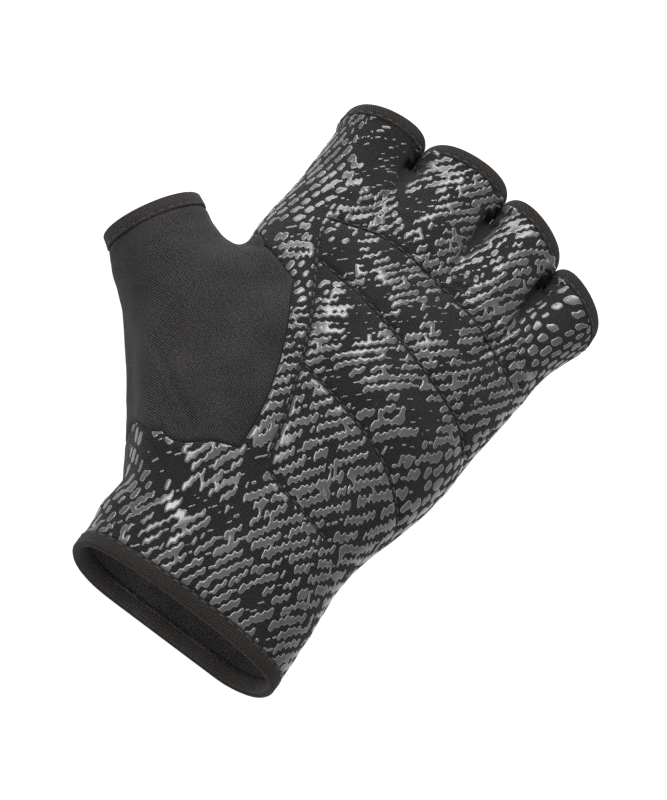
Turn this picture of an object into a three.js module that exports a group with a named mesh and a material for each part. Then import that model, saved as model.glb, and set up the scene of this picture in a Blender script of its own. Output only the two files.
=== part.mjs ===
// A fingerless weightlifting glove for a left hand, lying on its back with the palm up.
// Sizes are in millimetres. +Y runs from the wrist to the fingers, the thumb is on the -X side,
// and +Z points out of the palm. The glove is sewn from a printed palm panel, a plain back panel
// and a plain thumb panel, with a binding tape round the wrist and round each finger opening.
import * as THREE from "three";

// Sizes of the hand part, measured over the outside of the cloth.
const HAND_LENGTH = 150; // wrist edge to the web between the middle and ring fingers
const HAND_WIDTH = 87; // across the palm below the fingers
const WRIST_WIDTH = 62; // across the wrist opening
const HAND_HEIGHT = 37; // back to palm where the palm is thickest
const FLAT_SINK = 3; // how far the round back would sink below the surface that it lies on

// Sizes of the finger sleeves and the thumb sleeve.
const FINGER_LENGTH = 6; // from a web to the finger opening
const FINGER_HEIGHT = 24; // of a finger opening, back to palm
const SCALLOP = 0.6; // how far the palm side of a finger opening stands past its sides
const THUMB_OUT = 23.4; // from the hand's edge to the middle of the thumb opening, across the hand
const THUMB_TURN = 62; // degrees from the hand's own direction to the thumb's
const THUMB_WIDTH = 28; // across the thumb opening
const THUMB_HEIGHT = 21; // of the thumb opening, back to palm

// Cloth and tape.
const PALM_WALL = 2.2; // printed knit over thin foam
const PLAIN_WALL = 1.3; // plain knit of the back and the thumb
const TAPE_WIDTH = 3.4; // the part of a binding that shows outside
const TAPE_PROUD = 0.5; // how far a binding stands out from the cloth, on both sides
const CHANNEL_DEPTH = 1.2; // of the sewn lines that part the palm's padding
const SEAM_GAP = 0.32; // between neighbouring pieces, so that they stay separate solids
const EDGE_CROWDING = 1.5; // how much closer the net's columns stand at the edges of the hand
const MITER_LIMIT = 0.5; // keeps the drawn-back corners of a piece from running far
const PALM_ROUNDNESS = 2.5; // of the hand's sections: 2 is an ellipse, more is fuller
const BACK_ROUNDNESS = 2.4;
const BACK_VALLEY = 0.25; // depth of the valleys between the fingers on the back, to the palm's
const SQUARENESS = 0.72; // of the sleeves' sections: 1 is an ellipse, less is squarer
const SLEEVE_GAP = 2 * TAPE_PROUD + SEAM_GAP; // between the cloth of two finger sleeves

const SIDES = 16; // columns of the net over the palm, and as many over the back
const PER_FINGER = SIDES / 4;
const WEB = { first: 4, second: 8, third: 12 }; // the columns that end in a web between fingers
// A smoothed ring of points shrinks. These make up for it, for 8 and for 16 points.
const RING_OF_8 = 3 / (2 + Math.pow(Math.cos(Math.PI / 4), SQUARENESS));
const RING_OF_16 = 3 / (2 + Math.cos(Math.PI / 8));

// One row for each section across the hand, from the wrist's edge to just below the webs.
// left, seam, right: how far along the hand the row lies at its thumb edge, at the thumb panel's
// seam and at its little-finger edge, as shares of HAND_LENGTH. bow: how far the row bows towards
// the fingers between its thumb edge and the seam, another such share. grow: 0 for the wrist's
// width, 1 for the hand's. shift: of the section's middle, a share of HAND_WIDTH. inset: where the
// seam column runs, a share of the half width. top, side: heights of the palm and of the side
// line, base: clearance under the back, as shares of HAND_HEIGHT. dip: depth of the valleys
// between the fingers, a share of the height above the side line.
const ROWS = [
  { left: 0.000, seam: 0.000, right: 0.000, bow: 0.000, grow: 0.00, shift: 0.014, inset: 0.42,
    top: 0.76, side: 0.41, base: 0.040, dip: 0.00 },
  { left: 0.060, seam: 0.060, right: 0.060, bow: 0.000, grow: 0.02, shift: 0.012, inset: 0.42,
    top: 0.80, side: 0.42, base: 0.000, dip: 0.00 },
  { left: 0.133, seam: 0.140, right: 0.133, bow: 0.000, grow: 0.00, shift: 0.011, inset: 0.42,
    top: 0.86, side: 0.42, base: 0.000, dip: 0.00 },
  { left: 0.205, seam: 0.288, right: 0.217, bow: -0.050, grow: 0.12, shift: -0.020, inset: 0.255,
    top: 0.92, side: 0.43, base: 0.000, dip: 0.00 },
  { left: 0.333, seam: 0.355, right: 0.287, bow: 0.000, grow: 0.46, shift: -0.053, inset: 0.175,
    top: 0.97, side: 0.43, base: 0.000, dip: 0.00 },
  { left: 0.440, seam: 0.455, right: 0.350, bow: 0.000, grow: 0.76, shift: -0.063, inset: 0.250,
    top: 1.00, side: 0.43, base: 0.000, dip: 0.00 },
  { left: 0.550, seam: 0.525, right: 0.413, bow: 0.000, grow: 0.85, shift: -0.049, inset: 0.410,
    top: 1.01, side: 0.43, base: 0.000, dip: 0.00 },
  { left: 0.672, seam: 0.585, right: 0.473, bow: 0.012, grow: 0.83, shift: -0.025, inset: 0.610,
    top: 1.00, side: 0.42, base: 0.000, dip: 0.00 },
  { left: 0.713, seam: 0.647, right: 0.537, bow: 0.000, grow: 0.87, shift: -0.028, inset: 0.540,
    top: 0.98, side: 0.41, base: 0.000, dip: 0.00 },
  { left: 0.760, seam: 0.712, right: 0.620, bow: 0.000, grow: 0.88, shift: -0.020, inset: 0.500,
    top: 0.94, side: 0.40, base: 0.000, dip: 0.00 },
  { left: 0.820, seam: 0.778, right: 0.710, bow: 0.000, grow: 0.92, shift: -0.006, inset: 0.480,
    top: 0.88, side: 0.39, base: 0.000, dip: 0.05 },
  { left: 0.888, seam: 0.868, right: 0.800, bow: 0.000, grow: 0.95, shift: -0.006, inset: 0.465,
    top: 0.81, side: 0.37, base: 0.010, dip: 0.18 },
];
const THUMB_ROWS = { first: 3, last: 7 }; // the thumb panel lies between these rows
const THUMB_HOLE = 2; // columns from the thumb edge, on each side, that open into the thumb
const CHANNEL_ROWS = [3, 5, 8, 10]; // the palm's sewn lines follow these rows

// The five lines that bound the four fingers, from the thumb side. across: from the middle of the
// hand, a share of the half width. web: where the web or side lies at the foot of the fingers, a
// share of HAND_LENGTH. reach: from there to the opening, a share of FINGER_LENGTH.
const FINGER_LINES = [
  { across: -1.000, web: 0.966, reach: 1.00 },
  { across: -0.465, web: 0.995, reach: 1.00 },
  { across: 0.138, web: 1.010, reach: 1.00 },
  { across: 0.645, web: 0.962, reach: 1.00 },
  { across: 1.085, web: 0.888, reach: 1.35 },
];
// lift: height of the opening's middle, thick: its height, as shares of FINGER_HEIGHT.
const FINGERS = [
  { name: "index", lift: 0.60, thick: 0.98 },
  { name: "middle", lift: 0.62, thick: 1.04 },
  { name: "ring", lift: 0.60, thick: 0.98 },
  { name: "little", lift: 0.55, thick: 0.88 },
];
// Sections of a finger sleeve. along: share of the way from the web to the opening's tape.
// full: share of the opening's size.
const SLEEVE = [
  { along: 0.50, full: 1.00 },
  { along: 1.00, full: 0.99 },
];
// Sections of the thumb sleeve. back: distance back from the opening, a share of THUMB_WIDTH.
// bend: sideways, towards the fingers, a share of THUMB_WIDTH. wide, high: shares of the
// opening's size. lift: height of the middle, a share of HAND_HEIGHT.
const THUMB_RISE = 0.586; // where the thumb opening lies along the hand, a share of HAND_LENGTH
const THUMB = [
  { back: 0.56, bend: -0.01, wide: 1.20, high: 1.28, lift: 0.45 },
  { back: 0.28, bend: -0.06, wide: 1.14, high: 1.10, lift: 0.44 },
  { back: 0.00, bend: 0.00, wide: 1.00, high: 1.00, lift: 0.43 },
];

const mix = (a, b, share) => a + (b - a) * share;
const squarer = (wave) => Math.sign(wave) * Math.pow(Math.abs(wave), SQUARENESS);
function rounded(share, power) {
  return Math.pow(Math.max(0, 1 - Math.pow(Math.abs(share), power)), 1 / power);
}

// The net: points, and four-sided faces that each carry the name of the piece they belong to.
const points = [];
const faces = [];
const addPoint = (x, y, z) => points.push(new THREE.Vector3(x, y, z)) - 1;
const addFace = (piece, a, b, c, d) => faces.push({ piece, corners: [a, b, c, d] });

// Where a column stands across a row, from -1 at the thumb edge to 1 at the little-finger edge.
function columnShare(column, inset) {
  const edge = Math.pow(Math.min(column, SIDES - column) / PER_FINGER, EDGE_CROWDING);
  if (column <= WEB.first) return -1 + (1 - inset) * edge;
  const third = FINGER_LINES[3].across;
  if (column >= WEB.third) return 1 - (1 - third) * edge;
  const second = FINGER_LINES[2].across;
  if (column <= WEB.second) return mix(-inset, second, (column - WEB.first) / PER_FINGER);
  return mix(second, third, (column - WEB.second) / PER_FINGER);
}

// How deep in a valley between two fingers a column lies: 1 on a web's column, 0 on a finger's.
function valley(column) {
  if (column < WEB.first - 2 || column > WEB.third + 2) return 0;
  return (1 + Math.cos((2 * Math.PI * column) / PER_FINGER)) / 2;
}

function bodyPoint(row, column, onPalm) {
  const half = mix(WRIST_WIDTH, HAND_WIDTH, row.grow) / 2;
  const share = columnShare(column, row.inset);
  const side = row.side * HAND_HEIGHT;
  const base = row.base * HAND_HEIGHT;
  let z;
  if (onPalm) {
    const swell = rounded(share, PALM_ROUNDNESS);
    z = side + (row.top * HAND_HEIGHT - side) * swell * (1 - row.dip * valley(column));
    const sewn = CHANNEL_ROWS.includes(ROWS.indexOf(row)) && column >= WEB.first;
    if (sewn) z -= CHANNEL_DEPTH * swell;
  } else {
    const sunk = side - (side - base + FLAT_SINK) * rounded(share, BACK_ROUNDNESS);
    z = Math.max(base, sunk) + BACK_VALLEY * row.dip * valley(column) * side;
  }
  const toSeam = Math.min(1, column / WEB.first);
  const toRight = Math.max(0, (column - WEB.first) / (SIDES - WEB.first));
  const bow = row.bow * Math.sin(Math.PI * Math.sqrt(toSeam));
  const along = mix(mix(row.left, row.seam, toSeam), row.right, toRight) + bow;
  return [row.shift * HAND_WIDTH + share * half, along * HAND_LENGTH, z];
}

// A ring of a finger sleeve. Its ends stand on the two lines that bound the finger.
function fingerRing(finger, along, full, past) {
  const near = FINGER_LINES[finger];
  const far = FINGER_LINES[finger + 1];
  const { lift, thick } = FINGERS[finger];
  const end = (line) =>
    line.web * HAND_LENGTH + along * (line.reach * FINGER_LENGTH - TAPE_WIDTH) + past;
  const x0 = (near.across * HAND_WIDTH) / 2 + (finger > 0 ? SLEEVE_GAP / 2 : 0);
  const x1 = (far.across * HAND_WIDTH) / 2 - (finger < FINGERS.length - 1 ? SLEEVE_GAP / 2 : 0);
  const across = new THREE.Vector3(x1 - x0, end(far) - end(near), 0).multiplyScalar(0.5);
  const middle = new THREE.Vector3((x0 + x1) / 2, (end(near) + end(far)) / 2, lift * FINGER_HEIGHT);
  const high = (thick * FINGER_HEIGHT * full * RING_OF_8) / 2;
  return Array.from({ length: 2 * PER_FINGER }, (_, k) => {
    const turn = Math.PI * (1 - k / PER_FINGER);
    const p = middle.clone().addScaledVector(across, squarer(Math.cos(turn)) * full * RING_OF_8);
    p.z += squarer(Math.sin(turn)) * high;
    p.y += Math.max(0, Math.sin(turn)) * SCALLOP * along;
    return addPoint(p.x, p.y, p.z);
  });
}

// The hand: rows of points over the palm and over the back, which share both edges.
const palmRows = [];
const backRows = [];
function addHand() {
  const [edge, ...others] = ROWS;
  const share = TAPE_WIDTH / HAND_LENGTH;
  const tapeEnd = { ...edge, left: share, seam: share, right: share };
  for (const row of [edge, tapeEnd, ...others]) {
    const columns = Array.from({ length: SIDES + 1 }, (_, c) => c);
    const palm = columns.map((c) => addPoint(...bodyPoint(row, c, true)));
    const back = columns.map((c) =>
      c === 0 || c === SIDES ? palm[c] : addPoint(...bodyPoint(row, c, false)));
    palmRows.push(palm);
    backRows.push(back);
  }
}

// The row at the foot of the fingers. Palm and back share a point in each web.
function addWebRow() {
  const palm = [];
  const back = [];
  FINGER_LINES.forEach((line, i) => {
    const lifts = [FINGERS[Math.max(0, i - 1)].lift, FINGERS[Math.min(FINGERS.length - 1, i)].lift];
    const z = ((lifts[0] + lifts[1]) / 2) * FINGER_HEIGHT;
    const web = addPoint((line.across * HAND_WIDTH) / 2, line.web * HAND_LENGTH, z);
    palm[i * PER_FINGER] = web;
    back[i * PER_FINGER] = web;
  });
  FINGERS.forEach((finger, i) => {
    const [near, far] = [FINGER_LINES[i], FINGER_LINES[i + 1]];
    for (let k = 1; k < PER_FINGER; k++) {
      const turn = (Math.PI * k) / PER_FINGER;
      const share = (1 - squarer(Math.cos(turn))) / 2;
      const across = (mix(near.across, far.across, share) * HAND_WIDTH) / 2;
      const along = mix(near.web, far.web, k / PER_FINGER) * HAND_LENGTH;
      const high = (squarer(Math.sin(turn)) * finger.thick * FINGER_HEIGHT * RING_OF_8) / 2;
      const middle = finger.lift * FINGER_HEIGHT;
      palm[i * PER_FINGER + k] = addPoint(across, along, middle + high);
      back[i * PER_FINGER + k] = addPoint(across, along, middle - high);
    }
  });
  palmRows.push(palm);
  backRows.push(back);
}

const inThumbPatch = (row, column, width) =>
  row >= THUMB_ROWS.first && row < THUMB_ROWS.last && column < width;

function addBodyFaces() {
  for (let r = 0; r + 1 < palmRows.length; r++) {
    const row = r - 1; // the first strip is the wrist's tape
    for (let c = 0; c < SIDES; c++) {
      if (inThumbPatch(row, c, THUMB_HOLE)) continue;
      let palm = "palm_panel";
      let back = "back_panel";
      if (row < 0) {
        palm = "wrist_binding";
        back = "wrist_binding";
      } else if (inThumbPatch(row, c, WEB.first)) {
        palm = "thumb_panel";
        back = "thumb_panel";
      }
      addFace(palm, palmRows[r][c], palmRows[r][c + 1], palmRows[r + 1][c + 1], palmRows[r + 1][c]);
      addFace(back, backRows[r][c + 1], backRows[r][c], backRows[r + 1][c], backRows[r + 1][c + 1]);
    }
  }
}

// Joins two rings of as many points. The piece may differ between the two halves of the ring.
function addTube(ring, next, pieceOf) {
  ring.forEach((_, k) => {
    const after = (k + 1) % ring.length;
    addFace(pieceOf(k), ring[k], ring[after], next[after], next[k]);
  });
}

function addFingers() {
  const palm = palmRows[palmRows.length - 1];
  const back = backRows[backRows.length - 1];
  FINGERS.forEach((finger, i) => {
    const start = i * PER_FINGER;
    const steps = Array.from({ length: PER_FINGER }, (_, k) => k);
    let ring = [
      ...steps.map((k) => palm[start + k]),
      ...steps.map((k) => back[start + PER_FINGER - k]),
    ];
    for (const section of SLEEVE) {
      const next = fingerRing(i, section.along, section.full, 0);
      addTube(ring, next, (k) => (k < PER_FINGER ? "palm_panel" : "back_panel"));
      ring = next;
    }
    const { along, full } = SLEEVE[SLEEVE.length - 1];
    addTube(ring, fingerRing(i, along, full, TAPE_WIDTH), () => finger.name + "_binding");
  });
}

function addThumb() {
  const first = THUMB_ROWS.first + 1; // palmRows also holds the tape's row
  const last = THUMB_ROWS.last + 1;
  const ring = [];
  for (let c = 0; c <= THUMB_HOLE; c++) ring.push(backRows[last][c]);
  for (let r = last - 1; r >= first; r--) ring.push(backRows[r][THUMB_HOLE]);
  for (let c = THUMB_HOLE - 1; c >= 0; c--) ring.push(backRows[first][c]);
  for (let c = 1; c <= THUMB_HOLE; c++) ring.push(palmRows[first][c]);
  for (let r = first + 1; r <= last; r++) ring.push(palmRows[r][THUMB_HOLE]);
  for (let c = THUMB_HOLE - 1; c > 0; c--) ring.push(palmRows[last][c]);

  const turn = THREE.MathUtils.degToRad(THUMB_TURN);
  const outward = new THREE.Vector3(-Math.sin(turn), Math.cos(turn), 0);
  const toFingers = new THREE.Vector3(Math.cos(turn), Math.sin(turn), 0);
  const thumbRing = (section, past) => {
    const out = HAND_WIDTH / 2 + THUMB_OUT;
    const middle = new THREE.Vector3(-out, THUMB_RISE * HAND_LENGTH, section.lift * HAND_HEIGHT);
    middle.addScaledVector(outward, past - TAPE_WIDTH - section.back * THUMB_WIDTH);
    middle.addScaledVector(toFingers, section.bend * THUMB_WIDTH);
    return ring.map((_, k) => {
      const angle = (2 * Math.PI * k) / ring.length;
      const p = middle.clone();
      p.addScaledVector(toFingers, (Math.cos(angle) * section.wide * THUMB_WIDTH * RING_OF_16) / 2);
      p.z -= (Math.sin(angle) * section.high * THUMB_HEIGHT * RING_OF_16) / 2;
      return addPoint(p.x, p.y, p.z);
    });
  };
  let from = ring;
  for (const section of THUMB) {
    const next = thumbRing(section, 0);
    addTube(from, next, () => "thumb_panel");
    from = next;
  }
  addTube(from, thumbRing(THUMB[THUMB.length - 1], TAPE_WIDTH), () => "thumb_binding");
}

// Each edge of the net with the faces on its two sides.
function edgesOf(list) {
  const edges = new Map();
  list.forEach(({ corners }, f) => corners.forEach((a, i) => {
    const b = corners[(i + 1) % corners.length];
    const key = Math.min(a, b) + "_" + Math.max(a, b);
    if (!edges.has(key)) edges.set(key, { ends: [a, b], faces: [] });
    edges.get(key).faces.push(f);
  }));
  return edges;
}

const sum = (list) => list.reduce((total, p) => total.add(p), new THREE.Vector3());
const average = (list) => sum(list).divideScalar(list.length);

// One Catmull-Clark step: the net becomes four times as fine and smooth.
function smooth(oldPoints, oldFaces) {
  const edges = edgesOf(oldFaces);
  const centres = oldFaces.map(({ corners }) => average(corners.map((v) => oldPoints[v])));
  const middles = new Map();
  const around = oldPoints.map(() => ({ faces: [], mids: [], rim: [] }));
  oldFaces.forEach(({ corners }, f) => corners.forEach((v) => around[v].faces.push(centres[f])));
  for (const [key, { ends, faces: sides }] of edges) {
    const mid = average(ends.map((v) => oldPoints[v]));
    const onRim = sides.length === 1;
    middles.set(key, onRim ? mid : average([mid, average(sides.map((f) => centres[f]))]));
    ends.forEach((v, i) => {
      around[v].mids.push(mid);
      if (onRim) around[v].rim.push(oldPoints[ends[1 - i]]);
    });
  }
  const moved = oldPoints.map((p, v) => {
    const near = around[v];
    if (near.rim.length) return sum(near.rim).addScaledVector(p, 6).divideScalar(8);
    const n = near.mids.length;
    const pull = average(near.faces).addScaledVector(average(near.mids), 2);
    return pull.addScaledVector(p, n - 3).divideScalar(n);
  });
  const newPoints = [...moved, ...centres];
  const middleIndex = new Map();
  for (const [key, p] of middles) middleIndex.set(key, newPoints.push(p) - 1);
  const indexOf = (a, b) => middleIndex.get(Math.min(a, b) + "_" + Math.max(a, b));
  const newFaces = oldFaces.flatMap(({ piece, corners }, f) => corners.map((v, i) => {
    const after = corners[(i + 1) % 4];
    const before = corners[(i + 3) % 4];
    return { piece, corners: [v, indexOf(v, after), moved.length + f, indexOf(before, v)] };
  }));
  return { points: newPoints, faces: newFaces };
}

// Moves each point of a smoothed net to where endless smoothing would bring it.
function settle({ points: list, faces: quads }) {
  const around = list.map(() => ({ ends: [], corners: [], rim: [] }));
  for (const { ends, faces: sides } of edgesOf(quads).values()) {
    ends.forEach((v, i) => {
      around[v].ends.push(list[ends[1 - i]]);
      if (sides.length === 1) around[v].rim.push(list[ends[1 - i]]);
    });
  }
  for (const { corners } of quads) {
    corners.forEach((v, i) => around[v].corners.push(list[corners[(i + 2) % 4]]));
  }
  const settled = list.map((p, v) => {
    const near = around[v];
    if (near.rim.length) return sum(near.rim).addScaledVector(p, 4).divideScalar(6);
    const n = near.ends.length;
    const pull = sum(near.corners).addScaledVector(sum(near.ends), 4);
    return pull.addScaledVector(p, n * n).divideScalar(n * (n + 5));
  });
  return { points: settled, faces: quads };
}

addHand();
addWebRow();
addBodyFaces();
addFingers();
addThumb();
const net = settle(smooth(points, faces));

// Outward directions of the smooth net at its points.
function normalsOf(list, where) {
  const normals = where.map(() => new THREE.Vector3());
  for (const { corners } of list) {
    const [a, b, c, d] = corners.map((v) => where[v]);
    const n = new THREE.Vector3().crossVectors(c.clone().sub(a), d.clone().sub(b));
    corners.forEach((v) => normals[v].add(n));
  }
  return normals.map((n) => n.normalize());
}
const normals = normalsOf(net.faces, net.points);

// Makes a closed wall from the faces of one piece. Its edges draw back by half a seam gap.
function wall(piece, outside, inside) {
  const own = net.faces.filter((face) => face.piece === piece);
  const used = [...new Set(own.flatMap((face) => face.corners))];
  const rims = [...edgesOf(own).values()].filter((edge) => edge.faces.length === 1);
  const inward = new Map();
  for (const { ends, faces: [f] } of rims) {
    const [a, b] = ends.map((v) => net.points[v]);
    const along = b.clone().sub(a).normalize();
    const towards = average(own[f].corners.map((v) => net.points[v])).sub(a);
    towards.addScaledVector(along, -towards.dot(along)).normalize();
    for (const v of ends) inward.set(v, [...(inward.get(v) ?? []), towards]);
  }
  const place = new Map(used.map((v) => [v, net.points[v].clone()]));
  for (const [v, [one, other]] of inward) {
    const miter = Math.max(MITER_LIMIT, 1 + one.dot(other));
    place.get(v).addScaledVector(one.clone().add(other), SEAM_GAP / 2 / miter);
  }
  const index = new Map(used.map((v, i) => [v, i]));
  const out = used.map((v) => place.get(v).clone().addScaledVector(normals[v], outside));
  const inn = used.map((v) => place.get(v).clone().addScaledVector(normals[v], -inside));
  const triangles = [];
  const quad = (a, b, c, d) => triangles.push(a, b, c, a, c, d);
  const deep = used.length;
  for (const { corners } of own) {
    const [a, b, c, d] = corners.map((v) => index.get(v));
    quad(a, b, c, d);
    quad(d + deep, c + deep, b + deep, a + deep);
  }
  for (const { ends } of rims) {
    const [a, b] = ends.map((v) => index.get(v));
    quad(b, a, a + deep, b + deep);
  }
  const geometry = new THREE.BufferGeometry();
  const flat = [...out, ...inn].flatMap((p) => p.toArray());
  geometry.setAttribute("position", new THREE.Float32BufferAttribute(flat, 3));
  geometry.setIndex(triangles);
  geometry.computeVertexNormals();
  return geometry;
}

const glove = new THREE.Group();
function addPiece(name, geometry, color, roughness) {
  const material = new THREE.MeshStandardMaterial({ color, roughness, metalness: 0 });
  const mesh = new THREE.Mesh(geometry, material);
  mesh.name = name;
  glove.add(mesh);
}

addPiece("palm_panel", wall("palm_panel", 0, PALM_WALL), 0x3a3738, 0.7);
addPiece("back_panel", wall("back_panel", 0, PLAIN_WALL), 0x403d3d, 0.85);
addPiece("thumb_panel", wall("thumb_panel", 0, PLAIN_WALL), 0x403d3d, 0.85);
for (const name of ["wrist", "thumb", ...FINGERS.map((finger) => finger.name)]) {
  const tape = wall(name + "_binding", TAPE_PROUD, PLAIN_WALL + TAPE_PROUD);
  addPiece(name + "_binding", tape, 0x35322f, 0.8);
}

// The origin lies under the middle of the glove. The flattened back already lies at Z = 0.
const middle = new THREE.Box3().setFromObject(glove).getCenter(new THREE.Vector3());
glove.position.set(-middle.x, -middle.y, 0);

export default glove;
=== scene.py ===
import math

import bpy
import numpy as np
from mathutils import Matrix, Vector
from mathutils.bvhtree import BVHTree
from mathutils.kdtree import KDTree


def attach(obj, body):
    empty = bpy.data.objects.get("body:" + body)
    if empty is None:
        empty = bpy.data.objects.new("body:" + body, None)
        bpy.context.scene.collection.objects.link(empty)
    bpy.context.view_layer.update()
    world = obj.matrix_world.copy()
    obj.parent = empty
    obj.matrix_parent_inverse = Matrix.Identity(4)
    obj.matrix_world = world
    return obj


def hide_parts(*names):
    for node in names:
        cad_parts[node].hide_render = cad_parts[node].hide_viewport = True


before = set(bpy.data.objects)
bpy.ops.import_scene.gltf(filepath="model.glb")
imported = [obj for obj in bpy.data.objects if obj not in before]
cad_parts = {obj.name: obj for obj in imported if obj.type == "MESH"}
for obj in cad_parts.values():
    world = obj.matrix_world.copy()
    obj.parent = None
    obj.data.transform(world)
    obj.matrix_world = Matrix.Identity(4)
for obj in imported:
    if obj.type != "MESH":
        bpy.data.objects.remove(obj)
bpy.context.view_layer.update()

# The camera looks down on the palm from the wrist's side, 62 degrees above the surface, and is
# turned so that the fingers point to the upper right of the picture.
PHOTO_WIDTH = 667
PHOTO_HEIGHT = 800
CAMERA_TILT = math.radians(28)
CAMERA_TURN = math.radians(36.87)
CAMERA_DISTANCE = 0.700
LOOKS_AT = Vector((0.01298, -0.00441, 0.018))
LOOKS_AT_PIXEL = (329.6, 401.2)
PIXELS_PER_METRE = 3846
SENSOR = 36

away = Vector((0, -math.sin(CAMERA_TILT), math.cos(CAMERA_TILT)))
level = Vector((1, 0, 0))
upward = away.cross(level)
picture_right = math.cos(CAMERA_TURN) * level + math.sin(CAMERA_TURN) * upward
picture_up = math.cos(CAMERA_TURN) * upward - math.sin(CAMERA_TURN) * level
camera_data = bpy.data.cameras.new("camera")
camera_data.sensor_width = SENSOR
camera_data.lens = SENSOR * PIXELS_PER_METRE * CAMERA_DISTANCE / PHOTO_HEIGHT
camera_data.shift_x = (PHOTO_WIDTH / 2 - LOOKS_AT_PIXEL[0]) / PHOTO_HEIGHT
camera_data.shift_y = (LOOKS_AT_PIXEL[1] - PHOTO_HEIGHT / 2) / PHOTO_HEIGHT
camera_data.clip_start = 0.01
camera = bpy.data.objects.new("camera", camera_data)
turned = Matrix((picture_right, picture_up, away)).transposed().to_4x4()
camera.matrix_world = Matrix.Translation(LOOKS_AT + away * CAMERA_DISTANCE) @ turned
bpy.context.scene.collection.objects.link(camera)
bpy.context.scene.camera = camera

# The hand part, to which the palm and the back are cut. It is a net of rows across the hand, in
# millimetres from the middle of the wrist's edge. Both panels share its sides, where they are
# sewn together, and each face carries the name of the piece that it is cut from.
WRIST_MIDDLE = np.array((12.984, -78.814, 0.0))
HAND_LENGTH = 150
HAND_WIDTH = 87
WRIST_WIDTH = 62
HAND_HEIGHT = 37
FLAT_SINK = 3
TAPE_WIDTH = 3.4
CHANNEL_DEPTH = 1.2
EDGE_CROWDING = 1.5
PALM_ROUNDNESS = 2.5
BACK_ROUNDNESS = 2.4
BACK_VALLEY = 0.25
SIDES = 16
PER_FINGER = 4
PIECES = ("palm_panel", "back_panel", "thumb_panel", "wrist_binding", "thumb_binding",
          "index_binding", "middle_binding", "ring_binding", "little_binding")
ROW_NAMES = ("left", "seam", "right", "bow", "grow", "shift", "inset", "top", "side", "base", "dip")
HAND_ROWS = (
    (0.000, 0.000, 0.000, 0.000, 0.00, 0.014, 0.420, 0.76, 0.41, 0.040, 0.00),
    (0.060, 0.060, 0.060, 0.000, 0.02, 0.012, 0.420, 0.80, 0.42, 0.000, 0.00),
    (0.133, 0.140, 0.133, 0.000, 0.00, 0.011, 0.420, 0.86, 0.42, 0.000, 0.00),
    (0.205, 0.288, 0.217, -0.050, 0.12, -0.020, 0.255, 0.92, 0.43, 0.000, 0.00),
    (0.333, 0.355, 0.287, 0.000, 0.46, -0.053, 0.175, 0.97, 0.43, 0.000, 0.00),
    (0.440, 0.455, 0.350, 0.000, 0.76, -0.063, 0.250, 1.00, 0.43, 0.000, 0.00),
    (0.550, 0.525, 0.413, 0.000, 0.85, -0.049, 0.410, 1.01, 0.43, 0.000, 0.00),
    (0.672, 0.585, 0.473, 0.012, 0.83, -0.025, 0.610, 1.00, 0.42, 0.000, 0.00),
    (0.713, 0.647, 0.537, 0.000, 0.87, -0.028, 0.540, 0.98, 0.41, 0.000, 0.00),
    (0.760, 0.712, 0.620, 0.000, 0.88, -0.020, 0.500, 0.94, 0.40, 0.000, 0.00),
    (0.820, 0.778, 0.710, 0.000, 0.92, -0.006, 0.480, 0.88, 0.39, 0.000, 0.05),
    (0.888, 0.868, 0.800, 0.000, 0.95, -0.006, 0.465, 0.81, 0.37, 0.010, 0.18),
)
SEWN_ROWS = (3, 5, 8, 10)
# Where the pieces lie on a flat plan of the net, by which their points are found again.
BACK_PLAN = 20
FINGER_PLAN = 40
FINGER_PLAN_STEP = 10
THUMB_PLAN = 80

net_points = []
net_faces = []


def add_point(x, y, z):
    net_points.append((x, y, z))
    return len(net_points) - 1


def add_face(piece, corners, plan):
    net_faces.append((PIECES.index(piece), corners, plan))


def mix(a, b, share):
    return a + (b - a) * share


def rounded(share, power):
    return max(0, 1 - abs(share) ** power) ** (1 / power)


def add_tube(ring, following, piece_of, plan_u, plan_v):
    """Joins two rings of as many points with faces. The piece may differ round the ring."""
    for k in range(len(ring)):
        after = (k + 1) % len(ring)
        corners = (ring[k], ring[after], following[after], following[k])
        u = plan_u + k
        plan = ((u, plan_v), (u + 1, plan_v), (u + 1, plan_v + 1), (u, plan_v + 1))
        add_face(piece_of(k), corners, plan)


# The lines that bound the fingers. across: from the middle of the hand, a share of half the
# width. web: where the web lies along the hand. reach: from there to the opening.
LINE_NAMES = ("across", "web", "reach")
FINGER_LINES = [dict(zip(LINE_NAMES, line)) for line in (
    (-1.000, 0.966, 1.00),
    (-0.465, 0.995, 1.00),
    (0.138, 1.010, 1.00),
    (0.645, 0.962, 1.00),
    (1.085, 0.888, 1.35),
)]
FINGER_NAMES = ("index", "middle", "ring", "little")


def column_share(column, inset):
    edge = (min(column, SIDES - column) / PER_FINGER) ** EDGE_CROWDING
    second, third = FINGER_LINES[2]["across"], FINGER_LINES[3]["across"]
    if column <= PER_FINGER:
        return -1 + (1 - inset) * edge
    if column >= 3 * PER_FINGER:
        return 1 - (1 - third) * edge
    if column <= 2 * PER_FINGER:
        return mix(-inset, second, column / PER_FINGER - 1)
    return mix(second, third, column / PER_FINGER - 2)


def valley(column):
    if not PER_FINGER - 2 <= column <= 3 * PER_FINGER + 2:
        return 0
    return (1 + math.cos(2 * math.pi * column / PER_FINGER)) / 2


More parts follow.
